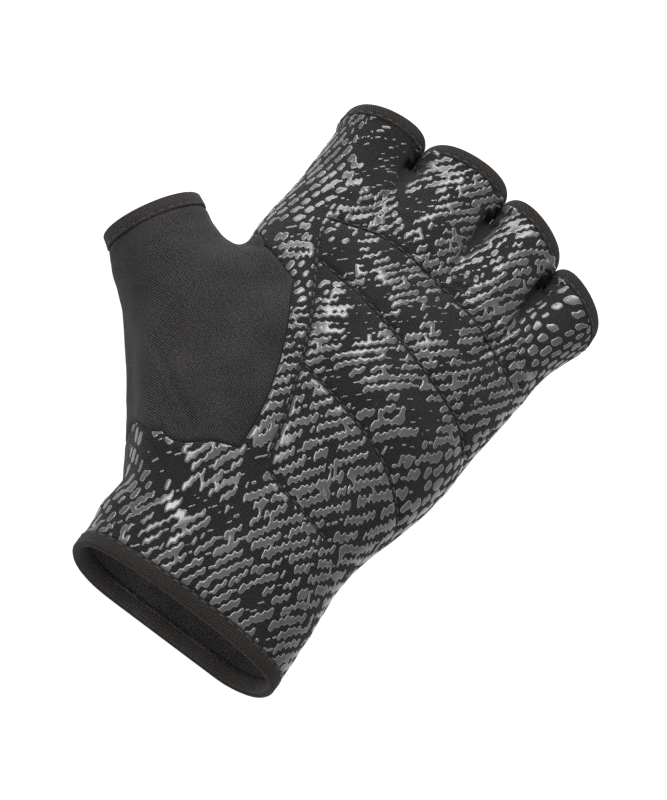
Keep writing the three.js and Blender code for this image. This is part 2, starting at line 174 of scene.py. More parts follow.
def hand_point(row, column, on_palm):
    share = column_share(column, row["inset"])
    side = row["side"] * HAND_HEIGHT
    base = row["base"] * HAND_HEIGHT
    dip = row["dip"] * valley(column)
    if on_palm:
        swell = rounded(share, PALM_ROUNDNESS)
        z = side + (row["top"] * HAND_HEIGHT - side) * swell * (1 - dip)
        if row["sewn"] and column >= PER_FINGER:
            z -= CHANNEL_DEPTH * swell
    else:
        sunk = side - (side - base + FLAT_SINK) * rounded(share, BACK_ROUNDNESS)
        z = max(base, sunk) + BACK_VALLEY * dip * side
    to_seam = min(1, column / PER_FINGER)
    to_right = max(0, (column - PER_FINGER) / (SIDES - PER_FINGER))
    bow = row["bow"] * math.sin(math.pi * math.sqrt(to_seam))
    along = mix(mix(row["left"], row["seam"], to_seam), row["right"], to_right) + bow
    half = mix(WRIST_WIDTH, HAND_WIDTH, row["grow"]) / 2
    return row["shift"] * HAND_WIDTH + share * half, along * HAND_LENGTH, z


hand_rows = [dict(zip(ROW_NAMES, row), sewn=i in SEWN_ROWS) for i, row in enumerate(HAND_ROWS)]
tape_share = TAPE_WIDTH / HAND_LENGTH
hand_rows.insert(1, dict(hand_rows[0], left=tape_share, seam=tape_share, right=tape_share))
palm_rows = [[add_point(*hand_point(row, c, True)) for c in range(SIDES + 1)] for row in hand_rows]
back_rows = []
for row, palm in zip(hand_rows, palm_rows):
    middle = [add_point(*hand_point(row, c, False)) for c in range(1, SIDES)]
    back_rows.append([palm[0], *middle, palm[-1]])

# The foot of the fingers and the four finger sleeves. Palm and back share a point in each web.
# The sleeves stand close together, so that their openings meet in a scalloped edge.
FINGER_LENGTH = 6
FINGER_HEIGHT = 24
SCALLOP = 0.6
SQUARENESS = 0.72
SLEEVE_GAP = 0.2
WEB_RAISE = 5.6
RING_OF_8 = 3 / (2 + math.cos(math.pi / 4) ** SQUARENESS)
FINGER_LIFTS = (0.60, 0.62, 0.60, 0.55)
FINGER_THICKS = (0.98, 1.04, 0.98, 0.88)
SLEEVE = ((0.50, 1.00), (1.00, 0.99))
WEB_ROW = len(hand_rows)


def squarer(wave):
    return math.copysign(abs(wave) ** SQUARENESS, wave)


palm_web, back_web = [None] * (SIDES + 1), [None] * (SIDES + 1)
for i, line in enumerate(FINGER_LINES):
    lift = (FINGER_LIFTS[max(0, i - 1)] + FINGER_LIFTS[min(3, i)]) / 2
    raised = WEB_RAISE if 0 < i < 4 else 0
    web = add_point(line["across"] * HAND_WIDTH / 2, line["web"] * HAND_LENGTH,
                    lift * FINGER_HEIGHT + raised)
    palm_web[i * PER_FINGER] = back_web[i * PER_FINGER] = web
for i in range(4):
    near, far = FINGER_LINES[i], FINGER_LINES[i + 1]
    for k in range(1, PER_FINGER):
        turn = math.pi * k / PER_FINGER
        share = (1 - squarer(math.cos(turn))) / 2
        x = mix(near["across"], far["across"], share) * HAND_WIDTH / 2
        y = mix(near["web"], far["web"], k / PER_FINGER) * HAND_LENGTH
        high = squarer(math.sin(turn)) * FINGER_THICKS[i] * FINGER_HEIGHT * RING_OF_8 / 2
        middle = FINGER_LIFTS[i] * FINGER_HEIGHT
        palm_web[i * PER_FINGER + k] = add_point(x, y, middle + high)
        back_web[i * PER_FINGER + k] = add_point(x, y, middle - high)
palm_rows.append(palm_web)
back_rows.append(back_web)


def finger_ring(i, along, full, past):
    near, far = FINGER_LINES[i], FINGER_LINES[i + 1]
    ends = [line["web"] * HAND_LENGTH + past + along * (line["reach"] * FINGER_LENGTH - TAPE_WIDTH)
            for line in (near, far)]
    x0 = near["across"] * HAND_WIDTH / 2 + (SLEEVE_GAP / 2 if i > 0 else 0)
    x1 = far["across"] * HAND_WIDTH / 2 - (SLEEVE_GAP / 2 if i < 3 else 0)
    high = FINGER_THICKS[i] * FINGER_HEIGHT * full * RING_OF_8 / 2
    ring = []
    for k in range(2 * PER_FINGER):
        turn = math.pi * (1 - k / PER_FINGER)
        wave = squarer(math.cos(turn)) * full * RING_OF_8
        x = (x0 + x1) / 2 + wave * (x1 - x0) / 2
        y = sum(ends) / 2 + wave * (ends[1] - ends[0]) / 2
        y += max(0, math.sin(turn)) * SCALLOP * along
        z = FINGER_LIFTS[i] * FINGER_HEIGHT + squarer(math.sin(turn)) * high
        ring.append(add_point(x, y, z))
    return ring


for i, name in enumerate(FINGER_NAMES):
    start = i * PER_FINGER
    ring = [palm_web[start + k] for k in range(PER_FINGER)]
    ring += [back_web[start + PER_FINGER - k] for k in range(PER_FINGER)]
    plan_u = FINGER_PLAN + FINGER_PLAN_STEP * i
    for step, (along, full) in enumerate(SLEEVE):
        following = finger_ring(i, along, full, 0)
        add_tube(ring, following, lambda k: PIECES[0] if k < PER_FINGER else PIECES[1],
                 plan_u, WEB_ROW + step)
        ring = following
    along, full = SLEEVE[-1]
    add_tube(ring, finger_ring(i, along, full, TAPE_WIDTH), lambda k: name + "_binding",
             plan_u, WEB_ROW + len(SLEEVE))

# The faces of the hand, with the patch that the thumb panel takes and the hole of its sleeve.
THUMB_ROWS = (4, 8)
THUMB_HOLE = 2
for r in range(len(palm_rows) - 1):
    for c in range(SIDES):
        beside_thumb = THUMB_ROWS[0] <= r < THUMB_ROWS[1]
        if beside_thumb and c < THUMB_HOLE:
            continue
        palm_piece, back_piece = "palm_panel", "back_panel"
        if r == 0:
            palm_piece = back_piece = "wrist_binding"
        elif beside_thumb and c < PER_FINGER:
            palm_piece = back_piece = "thumb_panel"
        lower, upper = palm_rows[r], palm_rows[r + 1]
        add_face(palm_piece, (lower[c], lower[c + 1], upper[c + 1], upper[c]),
                 ((c, r), (c + 1, r), (c + 1, r + 1), (c, r + 1)))
        lower, upper = back_rows[r], back_rows[r + 1]
        u = BACK_PLAN + c
        add_face(back_piece, (lower[c + 1], lower[c], upper[c], upper[c + 1]),
                 ((u + 1, r), (u, r), (u, r + 1), (u + 1, r + 1)))

# The thumb panel's lower seam is eased at its first columns, so that it runs in an even curve.
THUMB_SEAM_EASE = (5.0, 2.5, -6.0, 2.0)
for c, ease in enumerate(THUMB_SEAM_EASE):
    x, y, z = net_points[palm_rows[THUMB_ROWS[0]][c]]
    net_points[palm_rows[THUMB_ROWS[0]][c]] = (x, y + ease, z)

# The thumb sleeve: rings from the hole in the hand's side out to the thumb's opening.
THUMB_OUT = 23.4
THUMB_TURN = math.radians(62)
THUMB_WIDTH = 28
THUMB_HEIGHT = 21
THUMB_RISE = 0.586
THUMB_SECTIONS = (
    # back, bend, wide, high, lift
    (0.56, -0.01, 1.20, 1.28, 0.45),
    (0.28, -0.06, 1.14, 1.10, 0.44),
    (0.00, 0.00, 1.00, 1.00, 0.43),
)
RING_OF_16 = 3 / (2 + math.cos(math.pi / 8))
first, last = THUMB_ROWS
ring = [back_rows[last][c] for c in range(THUMB_HOLE + 1)]
ring += [back_rows[r][THUMB_HOLE] for r in range(last - 1, first - 1, -1)]
ring += [back_rows[first][c] for c in range(THUMB_HOLE - 1, -1, -1)]
ring += [palm_rows[first][c] for c in range(1, THUMB_HOLE + 1)]
ring += [palm_rows[r][THUMB_HOLE] for r in range(first + 1, last + 1)]
ring += [palm_rows[last][c] for c in range(THUMB_HOLE - 1, 0, -1)]
outward = np.array((-math.sin(THUMB_TURN), math.cos(THUMB_TURN), 0))
to_fingers = np.array((math.cos(THUMB_TURN), math.sin(THUMB_TURN), 0))


def thumb_ring(section, past):
    back, bend, wide, high, lift = section
    middle = np.array((-HAND_WIDTH / 2 - THUMB_OUT, THUMB_RISE * HAND_LENGTH, lift * HAND_HEIGHT))
    middle += outward * (past - TAPE_WIDTH - back * THUMB_WIDTH) + to_fingers * bend * THUMB_WIDTH
    made = []
    for k in range(len(ring)):
        angle = 2 * math.pi * k / len(ring)
        p = middle + to_fingers * math.cos(angle) * wide * THUMB_WIDTH * RING_OF_16 / 2
        p[2] -= math.sin(angle) * high * THUMB_HEIGHT * RING_OF_16 / 2
        made.append(add_point(*p))
    return made


inner_ring = ring
for step, section in enumerate(THUMB_SECTIONS):
    following = thumb_ring(section, 0)
    add_tube(inner_ring, following, lambda k: "thumb_panel", THUMB_PLAN, step)
    inner_ring = following
add_tube(inner_ring, thumb_ring(THUMB_SECTIONS[-1], TAPE_WIDTH), lambda k: "thumb_binding",
         THUMB_PLAN, len(THUMB_SECTIONS))


# The net is smoothed to the finished surface, once finely for the outside of the cloth and once
# coarsely for its inside.
class Surface:
    """A smoothed net: its points, faces and directions, and where each point is on the plan."""

    def __init__(self, levels):
        mesh = bpy.data.meshes.new("net")
        mesh.from_pydata(net_points, [], [corners for _, corners, _ in net_faces])
        mesh.polygons.foreach_set("material_index", [piece for piece, _, _ in net_faces])
        plan = mesh.uv_layers.new(name="plan")
        plan.uv.foreach_set("vector", np.array([p for _, _, p in net_faces], float).ravel())
        net = bpy.data.objects.new("net", mesh)
        bpy.context.scene.collection.objects.link(net)
        smoothing = net.modifiers.new("smoothing", "SUBSURF")
        smoothing.levels = levels
        smoothing.uv_smooth = "NONE"
        shown = net.evaluated_get(bpy.context.evaluated_depsgraph_get()).to_mesh()
        self.points = numbers(shown.vertices, "co", 3)
        self.faces = numbers(shown.loops, "vertex_index", 1, int).reshape(-1, 4)
        self.piece = numbers(shown.polygons, "material_index", 1, int).ravel()
        places = numbers(shown.uv_layers["plan"].uv, "vector", 2) * 2 ** levels
        self.places = np.rint(places).astype(int).reshape(-1, 4, 2)
        self.at = np.full(self.places.reshape(-1, 2).max(0) + 1, -1)
        self.at[self.places[..., 0], self.places[..., 1]] = self.faces
        bpy.data.objects.remove(net)
        bpy.data.meshes.remove(mesh)


def numbers(collection, name, size, kind=float):
    found = np.zeros(len(collection) * size, np.float32 if kind is float else np.int32)
    collection.foreach_get(name, found)
    return found.reshape(-1, size).astype(kind)


def directions(points, faces):
    """The outward direction at each point."""
    a, b, c, d = (points[faces[:, i]] for i in range(4))
    facing = np.cross(c - a, d - b)
    total = np.zeros_like(points)
    for i in range(4):
        np.add.at(total, faces[:, i], facing)
    return total / np.maximum(np.linalg.norm(total, axis=1, keepdims=True), 1e-12)


FINE_LEVELS = 4
STEPS = 2 ** FINE_LEVELS
fine = Surface(FINE_LEVELS)
coarse = Surface(FINE_LEVELS - 1)
plain_points = fine.points.copy()
plain_out = directions(plain_points, fine.faces)


def ids(u0, u1, v0, v1):
    """The numbers of the fine points in a rectangle of the plan."""
    return fine.at[u0 * STEPS:u1 * STEPS + 1, v0 * STEPS:v1 * STEPS + 1]


# The flat cut of the palm's cloth: how far each point lies across the hand, measured along the
# cloth, and how far along it. The weave and the grip print follow it. On the flat of the palm
# that distance follows from how far out a point is, and round the hand's edge from its direction.
SECTION_FLATNESS = 0.42
SIDE_SHARE = 0.42
EDGE_FROM = 0.55
EDGE_SPAN = 0.3
# Half the width, the shift to the side and the height of the palm at the fingers' far end.
FAR_HALF = 45.3
FAR_SHIFT = 1.9
FAR_TOP = 27.0
row_y = [row["seam"] * HAND_LENGTH for row in hand_rows] + [HAND_LENGTH]
row_half = [mix(WRIST_WIDTH, HAND_WIDTH, row["grow"]) / 2 for row in hand_rows] + [FAR_HALF]
row_shift = [row["shift"] * HAND_WIDTH for row in hand_rows] + [FAR_SHIFT]
row_top = [row["top"] * HAND_HEIGHT for row in hand_rows] + [FAR_TOP]
x, y, z = plain_points.T
half = np.interp(y, row_y, row_half)
side_z = SIDE_SHARE * HAND_HEIGHT
rise = np.interp(y, row_y, row_top) - side_z
out_share = (x - np.interp(y, row_y, row_shift)) / half
section_x = np.sin(np.linspace(0, math.pi / 2, 200))
section_z = (1 - section_x ** PALM_ROUNDNESS) ** (1 / PALM_ROUNDNESS)
section_step = np.hypot(np.diff(section_x), SECTION_FLATNESS * np.diff(section_z))
section_run = np.concatenate([[0], np.cumsum(section_step)])
by_width = np.interp(np.abs(out_share), section_x, section_run)
facing = np.arctan2(np.abs(out_share), np.maximum(0, z - side_z) / rise)
by_direction = np.interp(facing, np.arctan2(section_x, section_z), section_run)
round_edge = np.clip((np.abs(out_share) - EDGE_FROM) / EDGE_SPAN, 0, 1)
round_edge = round_edge ** 2 * (3 - 2 * round_edge)
from_middle = mix(by_width, by_direction, round_edge) * half + np.maximum(0, side_z - z)
cut = np.stack([np.sign(out_share) * from_middle, y], 1)

# The back's flat cut adds the height of its sides to its width.
BACK_FLAT_SHARE = 0.5
around_back = np.clip(out_share / BACK_FLAT_SHARE, -1, 1) * z
back_cut = np.stack([out_share * half + around_back, y], 1)

# The thumb panel's flat cut lies along the thumb and adds the height of the thumb's sides.
THUMB_TOP = 26.4
THUMB_FLAT = 8
thumb_points = np.unique(fine.faces[fine.piece == PIECES.index("thumb_panel")])
thumb_axes = np.stack([outward[:2], to_fingers[:2]])
thumb_middle = (-HAND_WIDTH / 2 - THUMB_OUT, THUMB_RISE * HAND_LENGTH)
along, across = thumb_axes @ (plain_points[:, :2] - thumb_middle).T
across += np.clip(across / THUMB_FLAT, -1, 1) * np.maximum(0, THUMB_TOP - z)
thumb_cut = np.stack([along, across], 1) @ thumb_axes

# The relief of the cloth: seams pull it in, rows of stitches sink into the padding, creases run
# down from the webs, and the whole has the small unevenness of a worn glove.
SEWN_LINES = {
    "sewn_line_upper": ((-28.5, 112.0), (-17.3, 116.9), (0.3, 116.6), (16.9, 114.1), (29.6, 109.5),
                        (36.1, 107.4)),
    "sewn_line_middle": ((-23.7, 98.0), (-11.7, 96.4), (0.3, 93.8), (15.1, 89.9), (29.2, 86.3),
                         (36.9, 82.3)),
    "sewn_line_lower": ((-10.8, 69.0), (-2.3, 67.6), (4.7, 66.1), (13.6, 64.0), (20.8, 61.6),
                        (25.9, 59.2), (32.8, 54.9)),
    "sewn_line_wrist": ((-1.0, 40.5), (3.5, 38.8), (12.6, 37.4), (20.2, 36.2)),
    "sewn_line_thumb": ((-28.4, 106.0), (-25.9, 99.8), (-22.4, 93.1), (-17.3, 82.6),
                        (-12.7, 71.9), (-8.8, 60.9), (-6.9, 55.7), (-4.9, 47.2), (-3.3, 42.0)),
}
SEAM_PULL = 0.45
SEAM_SPREAD = 0.6
STITCH_PULL = 0.7
STITCH_SPREAD = 0.75
PAD_PULL = 0.35
PAD_SPREAD = 3.0
UNEVEN = 0.22


def to_line(points, line):
    """How far each point is from a line of straight pieces, seen from above."""
    line = np.array(line)
    best = np.full(len(points), np.inf)
    for a, b in zip(line[:-1], line[1:]):
        d = b - a
        t = np.clip((points[:, :2] - a) @ d / (d @ d), 0, 1)
        best = np.minimum(best, np.hypot(*(points[:, :2] - a - t[:, None] * d).T))
    return best


def swirl(points, scale, seed):
    """Smooth random numbers from about -1 to 1, that change over about that length."""
    draw = np.random.default_rng(seed)
    waves = draw.normal(size=(12, points.shape[-1])) * 2 / scale
    turns = draw.uniform(0, 2 * math.pi, 12)
    return np.sin(points @ waves.T + turns).sum(-1) / 5


def tree_of(points):
    tree = KDTree(len(points))
    for i, p in enumerate(points):
        tree.insert(p, i)
    tree.balance()
    return tree


fewest = np.full(len(fine.points), len(PIECES))
most = np.full(len(fine.points), -1)
for i in range(4):
    np.minimum.at(fewest, fine.faces[:, i], fine.piece)
    np.maximum.at(most, fine.faces[:, i], fine.piece)
seam_tree = tree_of(plain_points[most > fewest])
to_seam = np.array([seam_tree.find(p)[2] for p in plain_points])
palm_ids = np.unique(fine.faces[fine.piece == PIECES.index("palm_panel")])
to_sewn = np.full(len(fine.points), np.inf)
to_sewn[palm_ids] = np.min([to_line(plain_points[palm_ids], line)
                            for line in SEWN_LINES.values()], axis=0)
lift = UNEVEN * (swirl(plain_points, 14, 3) + 0.5 * swirl(plain_points, 5, 4))
lift -= SEAM_PULL * np.exp(-(to_seam / SEAM_SPREAD) ** 2)
lift -= STITCH_PULL * np.exp(-(to_sewn / STITCH_SPREAD) ** 2)
lift -= PAD_PULL * np.exp(-(to_sewn / PAD_SPREAD) ** 2)

# A crease runs down from each web between two fingers, with small puckers round its foot.
WEB_CREASES = (
    # web column, length of the crease in rows, depth, puckers
    (4, 1.7, 3.2, 0.25),
    (8, 1.9, 3.6, 0.40),
    (12, 2.0, 3.6, 0.45),
)
CREASE_SPREAD = 1.4
PUCKER_RAYS = 9
PUCKER_FOOT = 3
PUCKER_REACH = 9
PUCKER_END = 6
# Further off than this, the print takes no notice of a crease or a sewn line.
FAR_OFF = 9.0
body = ids(0, SIDES, 0, WEB_ROW)
row_of = np.broadcast_to(np.arange(body.shape[1]) / STEPS, body.shape)
to_crease = np.full(len(fine.points), FAR_OFF)
for column, length, depth, pucker in WEB_CREASES:
    web_x = plain_points[body[column * STEPS], 0]
    sideways = plain_points[body, 0] - web_x
    share = np.clip((row_of - (WEB_ROW - length)) / length, 0, 1)
    fade = share ** 1.3 * (1 - 0.6 * np.clip((share - 0.7) / 0.3, 0, 1))
    crease = depth * fade * np.exp(-(sideways / (CREASE_SPREAD * (0.6 + 0.8 * share))) ** 2)
    foot_row = int((WEB_ROW - length + 0.3) * STEPS)
    foot = plain_points[body[column * STEPS, foot_row]]
    dx, dy = plain_points[body, 0] - foot[0], plain_points[body, 1] - foot[1]
    reach = np.hypot(dx, dy)
    rays = np.cos(np.arctan2(dx, -dy) * PUCKER_RAYS + 0.6 * np.sin(reach))
    near = np.exp(-((reach - PUCKER_FOOT) / PUCKER_REACH) ** 2)
    near *= np.clip(reach / PUCKER_FOOT, 0, 1) * (dy < PUCKER_END)
    known = body >= 0
    beside_crease = np.abs(sideways) + 4 * np.clip(0.75 - share, 0, 1)
    to_crease[body[known]] = np.minimum(to_crease[body[known]], beside_crease[known])
    lift[body[known]] -= crease[known]
    lift[body[known]] += (pucker * rays * near)[known]

# The cloth bulges a little beside the wrist, on the thumb's side, and is hollow above that.
WRIST_SWELLS = (
    # along the hand, spread, height
    (14.0, 3.5, 1.3),
    (22.5, 3.0, -0.8),
)
WRIST_SIDE = -24
WRIST_SIDE_SPAN = 8
WRIST_PART = 45
beside = np.clip((WRIST_SIDE - plain_points[:, 0]) / WRIST_SIDE_SPAN, 0, 1)
beside *= plain_points[:, 1] < WRIST_PART
for middle_y, spread_y, height in WRIST_SWELLS:
    lift += beside * height * np.exp(-((plain_points[:, 1] - middle_y) / spread_y) ** 2)

# The thumb panel has a fine crease on the ball of the thumb and a soft fold beside the index.
THUMB_CREASES = (
    # line seen from above, depth, spread
    (((-44.3, 52.6), (-37.5, 48.0), (-29.0, 42.0), (-22.5, 38.0)), 0.8, 0.8),
    (((-53.0, 94.5), (-46.0, 92.0), (-39.0, 93.0)), 0.7, 2.0),
)
for line, depth, spread in THUMB_CREASES:
    beside_line = to_line(plain_points[thumb_points], line)
    lift[thumb_points] -= depth * np.exp(-(beside_line / spread) ** 2)
fine.points += plain_out * lift[:, None]
webs = [plain_points[body[column * STEPS, -1]] for column, _, _, _ in WEB_CREASES]
to_web = np.min([np.linalg.norm(plain_points - web, axis=1) for web in webs], axis=0)

# The sides of neighbouring fingers are pressed together above the webs.
PRESSED = 1.4
PRESSED_REACH = 4
PRESSED_GAP = 0.03
for line in FINGER_LINES[1:4]:
    line_x, line_y = line["across"] * HAND_WIDTH / 2, line["web"] * HAND_LENGTH
    gap = fine.points[:, 0] - line_x
    facing = np.clip((np.abs(plain_out[:, 0]) - 0.25) / 0.4, 0, 1)
    facing *= np.clip((fine.points[:, 1] - line_y + 0.5) / 2, 0, 1) * (np.abs(gap) < PRESSED_REACH)
    facing *= -np.sign(gap) * np.sign(plain_out[:, 0]) > 0
    closed = np.maximum(PRESSED_GAP, np.abs(gap) - PRESSED * facing)
    fine.points[:, 0] = np.where(facing > 0, line_x + np.sign(gap) * closed, fine.points[:, 0])

# Nothing of the cloth sinks into the surface that the glove lies on.
LEAST_HEIGHT = 0.05
least = np.minimum(plain_points[:, 2], LEAST_HEIGHT)
fine.points[:, 2] = np.maximum(fine.points[:, 2], least)
out = directions(fine.points, fine.faces)


# Every cloth panel is a closed wall: the fine outside, a coarser inside one cloth thickness in,
# and a rim that joins them. The rims of neighbours stand a hair apart in the seam.
PLAIN_CLOTH = 1.1
SEAM_HAIR = 0.07


def link(name, points, faces, coordinates=None):
    """A smooth mesh object, from points in millimetres from the wrist's middle."""
    mesh = bpy.data.meshes.new(name)
    mesh.from_pydata((np.asarray(points) + WRIST_MIDDLE) * 0.001, [], faces)
    mesh.shade_smooth()
    if coordinates is not None:
        layer = mesh.uv_layers.new(name="cut")
        corners = numbers(mesh.loops, "vertex_index", 1, int).ravel()
        layer.uv.foreach_set("vector", (coordinates[corners] * 0.001).astype(np.float32).ravel())
    made = bpy.data.objects.new(name, mesh)
    bpy.context.scene.collection.objects.link(made)
    return made


def rim_of(faces):
    """The edges that only one face has, as corner numbers (face, corner)."""
    following = np.roll(faces, -1, axis=1)
    pairs = np.sort(np.stack([faces, following], -1).reshape(-1, 2), axis=1)
    _, which, times = np.unique(pairs, axis=0, return_index=True, return_counts=True)
    return np.stack(np.divmod(which[times == 1], 4), 1)


def cloth_panel(name, piece, thickness, flat_cut):
    """The closed wall of one of the pieces that the net is divided into."""
    number = PIECES.index(piece)
    outer = fine.faces[fine.piece == number]
    inner_mask = coarse.piece == number
    inner, places = coarse.faces[inner_mask], coarse.places[inner_mask]
    twin = np.zeros(len(coarse.points), int)
    twin[inner] = fine.at[2 * places[..., 0], 2 * places[..., 1]]
    used, outer = np.unique(outer, return_inverse=True)
    outer = outer.reshape(-1, 4)
    own = np.full(len(fine.points), -1)
    own[used] = np.arange(len(used))
    inner_used, inner = np.unique(inner, return_inverse=True)
    inner = inner.reshape(-1, 4)
    deep = fine.points[twin[inner_used]] - out[twin[inner_used]] * thickness[twin[inner_used], None]
    top = fine.points[used].copy()
    for f, i in rim_of(outer):
        a, b, c, d = (outer[f][(i + j) % 4] for j in range(4))
        for end, inward in ((a, d), (b, c)):
            pull = top[inward] - top[end]
            top[end] += pull * (SEAM_HAIR / 2 / max(np.linalg.norm(pull), 1e-6))
    points = np.concatenate([top, deep])
    faces = outer.tolist() + (inner[:, ::-1] + len(used)).tolist()
    for f, i in rim_of(inner):
        a, b = inner[f][i], inner[f][(i + 1) % 4]
        ends = places[f][[i, (i + 1) % 4]]
        between = own[fine.at[tuple(ends.sum(0))]]
        fa, fb = (own[twin[inner_used[x]]] for x in (a, b))
        faces.append([int(fb), int(between), int(fa), int(a + len(used)), int(b + len(used))])
    coordinates = np.concatenate([flat_cut[used], flat_cut[twin[inner_used]]])
    return link(name, points, faces, coordinates)


# The palm: charcoal twill-faced knit over thin foam. It is padded between its sewn lines, thins
# out towards its seams and the fingers, and is sewn to the back along both edges of the hand.
PADDED_CLOTH = 2.2
SEAM_CLOTH = 1.0
FOAM_EDGE = 6
FOAM_END = HAND_LENGTH - 18


def shader(name, roughness, sheen=0.0, gloss=0.5):
    """A material with its main node's plain values, and a short way to add nodes to it."""
    material = bpy.data.materials.new(name)
    material.use_nodes = True
    nodes = material.node_tree.nodes
    main = nodes["Principled BSDF"]
    main.inputs["Roughness"].default_value = roughness
    main.inputs["Specular IOR Level"].default_value = gloss
    main.inputs["Sheen Weight"].default_value = sheen
    main.inputs["Sheen Roughness"].default_value = 0.5

    def node(kind, links=(), **values):
        made = nodes.new("ShaderNode" + kind)
        for key, value in values.items():
            if key in made.inputs:
                made.inputs[key].default_value = value
            else:
                setattr(made, key, value)
        for socket, source in dict(links).items():
            material.node_tree.links.new(source, made.inputs[socket])
        return made

    return material, main, node


# How much the fuzz and the patches of a knit count beside its ribs, and the scale of the whole.
FUZZ_HEIGHT = 1.3
PATCH_TONE = 0.7
TONE_SCALE = 0.52


def knit(name, dark, light, turn, pitch, roughness=0.85, rib=0.6, sheen=0.04, depth=0.0002):
    """Knitted cloth: ribs broken up by slanting loops, with fuzz and uneven colour."""
    material, main, node = shader(name, roughness, sheen, 0.12)
    link_to = material.node_tree.links.new
    place = node("UVMap", uv_map="cut")
    rows = node("Mapping", {"Vector": place.outputs["UV"]})
    rows.inputs["Rotation"].default_value = (0, 0, turn)
    across = node("Mapping", {"Vector": place.outputs["UV"]})
    across.inputs["Rotation"].default_value = (0, 0, turn + math.radians(58))
    wave = 0.314 / pitch
    ribs = node("TexWave", {"Vector": rows.outputs["Vector"]}, wave_type="BANDS",
                bands_direction="Y", Scale=wave, Distortion=2.2, Detail=2.0)
    ribs.inputs["Detail Scale"].default_value = 2.0
    loops = node("TexWave", {"Vector": across.outputs["Vector"]}, wave_type="BANDS",
                 bands_direction="Y", Scale=wave * 1.15, Distortion=2.2, Detail=2.0)
    fuzz = node("TexNoise", {"Vector": place.outputs["UV"]}, Scale=1900.0, Detail=3.0)
    patches = node("TexNoise", {"Vector": place.outputs["UV"]}, Scale=70.0, Detail=4.0)
    broken = node("Math", {0: loops.outputs["Fac"]}, operation="MULTIPLY_ADD")
    broken.inputs[1].default_value = 1 - rib
    broken.inputs[2].default_value = rib
    crossed = node("Math", {0: ribs.outputs["Fac"], 1: broken.outputs[0]}, operation="MULTIPLY")
    height = node("Math", {0: fuzz.outputs["Fac"], 2: crossed.outputs[0]}, operation="MULTIPLY_ADD")
    height.inputs[1].default_value = FUZZ_HEIGHT
    bump = node("Bump", {"Height": height.outputs[0]}, Strength=0.9, Distance=depth)
    tone = node("Math", {0: patches.outputs["Fac"], 2: height.outputs[0]}, operation="MULTIPLY_ADD")
    tone.inputs[1].default_value = PATCH_TONE
    scaled = node("Math", {0: tone.outputs[0]}, operation="MULTIPLY")
    scaled.inputs[1].default_value = TONE_SCALE
    ramp = node("ValToRGB", {"Fac": scaled.outputs[0]})
    ramp.color_ramp.elements[0].position = 0.5
    ramp.color_ramp.elements[0].color = (*dark, 1)
    ramp.color_ramp.elements[1].position = 0.95
    ramp.color_ramp.elements[1].color = (*light, 1)
    link_to(ramp.outputs["Color"], main.inputs["Base Color"])
    link_to(bump.outputs["Normal"], main.inputs["Normal"])
    return material


foam = np.clip(to_seam / FOAM_EDGE, 0, 1) * np.clip((FOAM_END - plain_points[:, 1]) / 10, 0, 1)
foam = foam * foam * (3 - 2 * foam)
palm = cloth_panel("printed_palm", "palm_panel", mix(SEAM_CLOTH, PADDED_CLOTH, foam), cut)
palm.data.materials.append(knit("charcoal_twill", (0.002, 0.0018, 0.0019), (0.0225, 0.0205, 0.0215),
                                math.radians(-20), 0.0005, rib=0.4))
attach(palm, "root")
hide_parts("palm_panel")

# The back: one plain panel of grey stretch knit. Its inside, which shows in the wrist opening,
# has a lighter copy of the knit, painted light against the shade there. It is sewn to the palm
# and the thumb panel, and is flattened where the glove lies.
plain_wall = np.full(len(fine.points), PLAIN_CLOTH)
back = cloth_panel("plain_back", "back_panel", plain_wall, back_cut)
grey_knit = knit("grey_knit", (0.004, 0.0037, 0.0037), (0.042, 0.0385, 0.0385), 0, 0.0006)
# A lighter copy of the grey knit for the back's inside faces: painted light against the shade in the
# wrist opening.
lining_painted_light = knit("lining_painted_light", (0.02, 0.0185, 0.018), (0.16, 0.147, 0.144), 0.6, 0.0005,
                   rib=0.2)
back.data.materials.append(grey_knit)
back.data.materials.append(lining_painted_light)
outer_count = int((fine.piece == PIECES.index("back_panel")).sum())
is_inside = np.arange(len(back.data.polygons)) >= outer_count
back.data.polygons.foreach_set("material_index", is_inside.astype(np.int32))
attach(back, "root")
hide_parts("back_panel")

# The thumb: one plain panel of warm grey stretch knit, over the ball of the thumb and round the
# thumb itself. It is set into the palm and the back with a turned seam and has no padding.
thumb = cloth_panel("plain_thumb", "thumb_panel", plain_wall, thumb_cut)
thumb.data.materials.append(knit("thumb_knit", (0.002, 0.0018, 0.0018), (0.044, 0.0407, 0.0410),
                                 math.radians(9), 0.00056, rib=0.3))
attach(thumb, "root")
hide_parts("thumb_panel")

# The bindings: a strip of dark knit tape, folded over the edge of each opening and stitched
# through near both of its own edges. The thumb's is its panel's own turned hem. The profile is
# the strip's section: how far in from the opening's edge, and how high over the cloth's outside.
TAPE_PROUD = 0.4
FOLD_DEPTH = 0.78
OUTSIDE_WIDTH = 4.3
INSIDE_WIDTH = 5.2
# From this point of the profile on, inside the opening, the tape has a lighter copy of its knit,
# painted light against the shade there.
PAINTED_LIGHT_FROM = 21


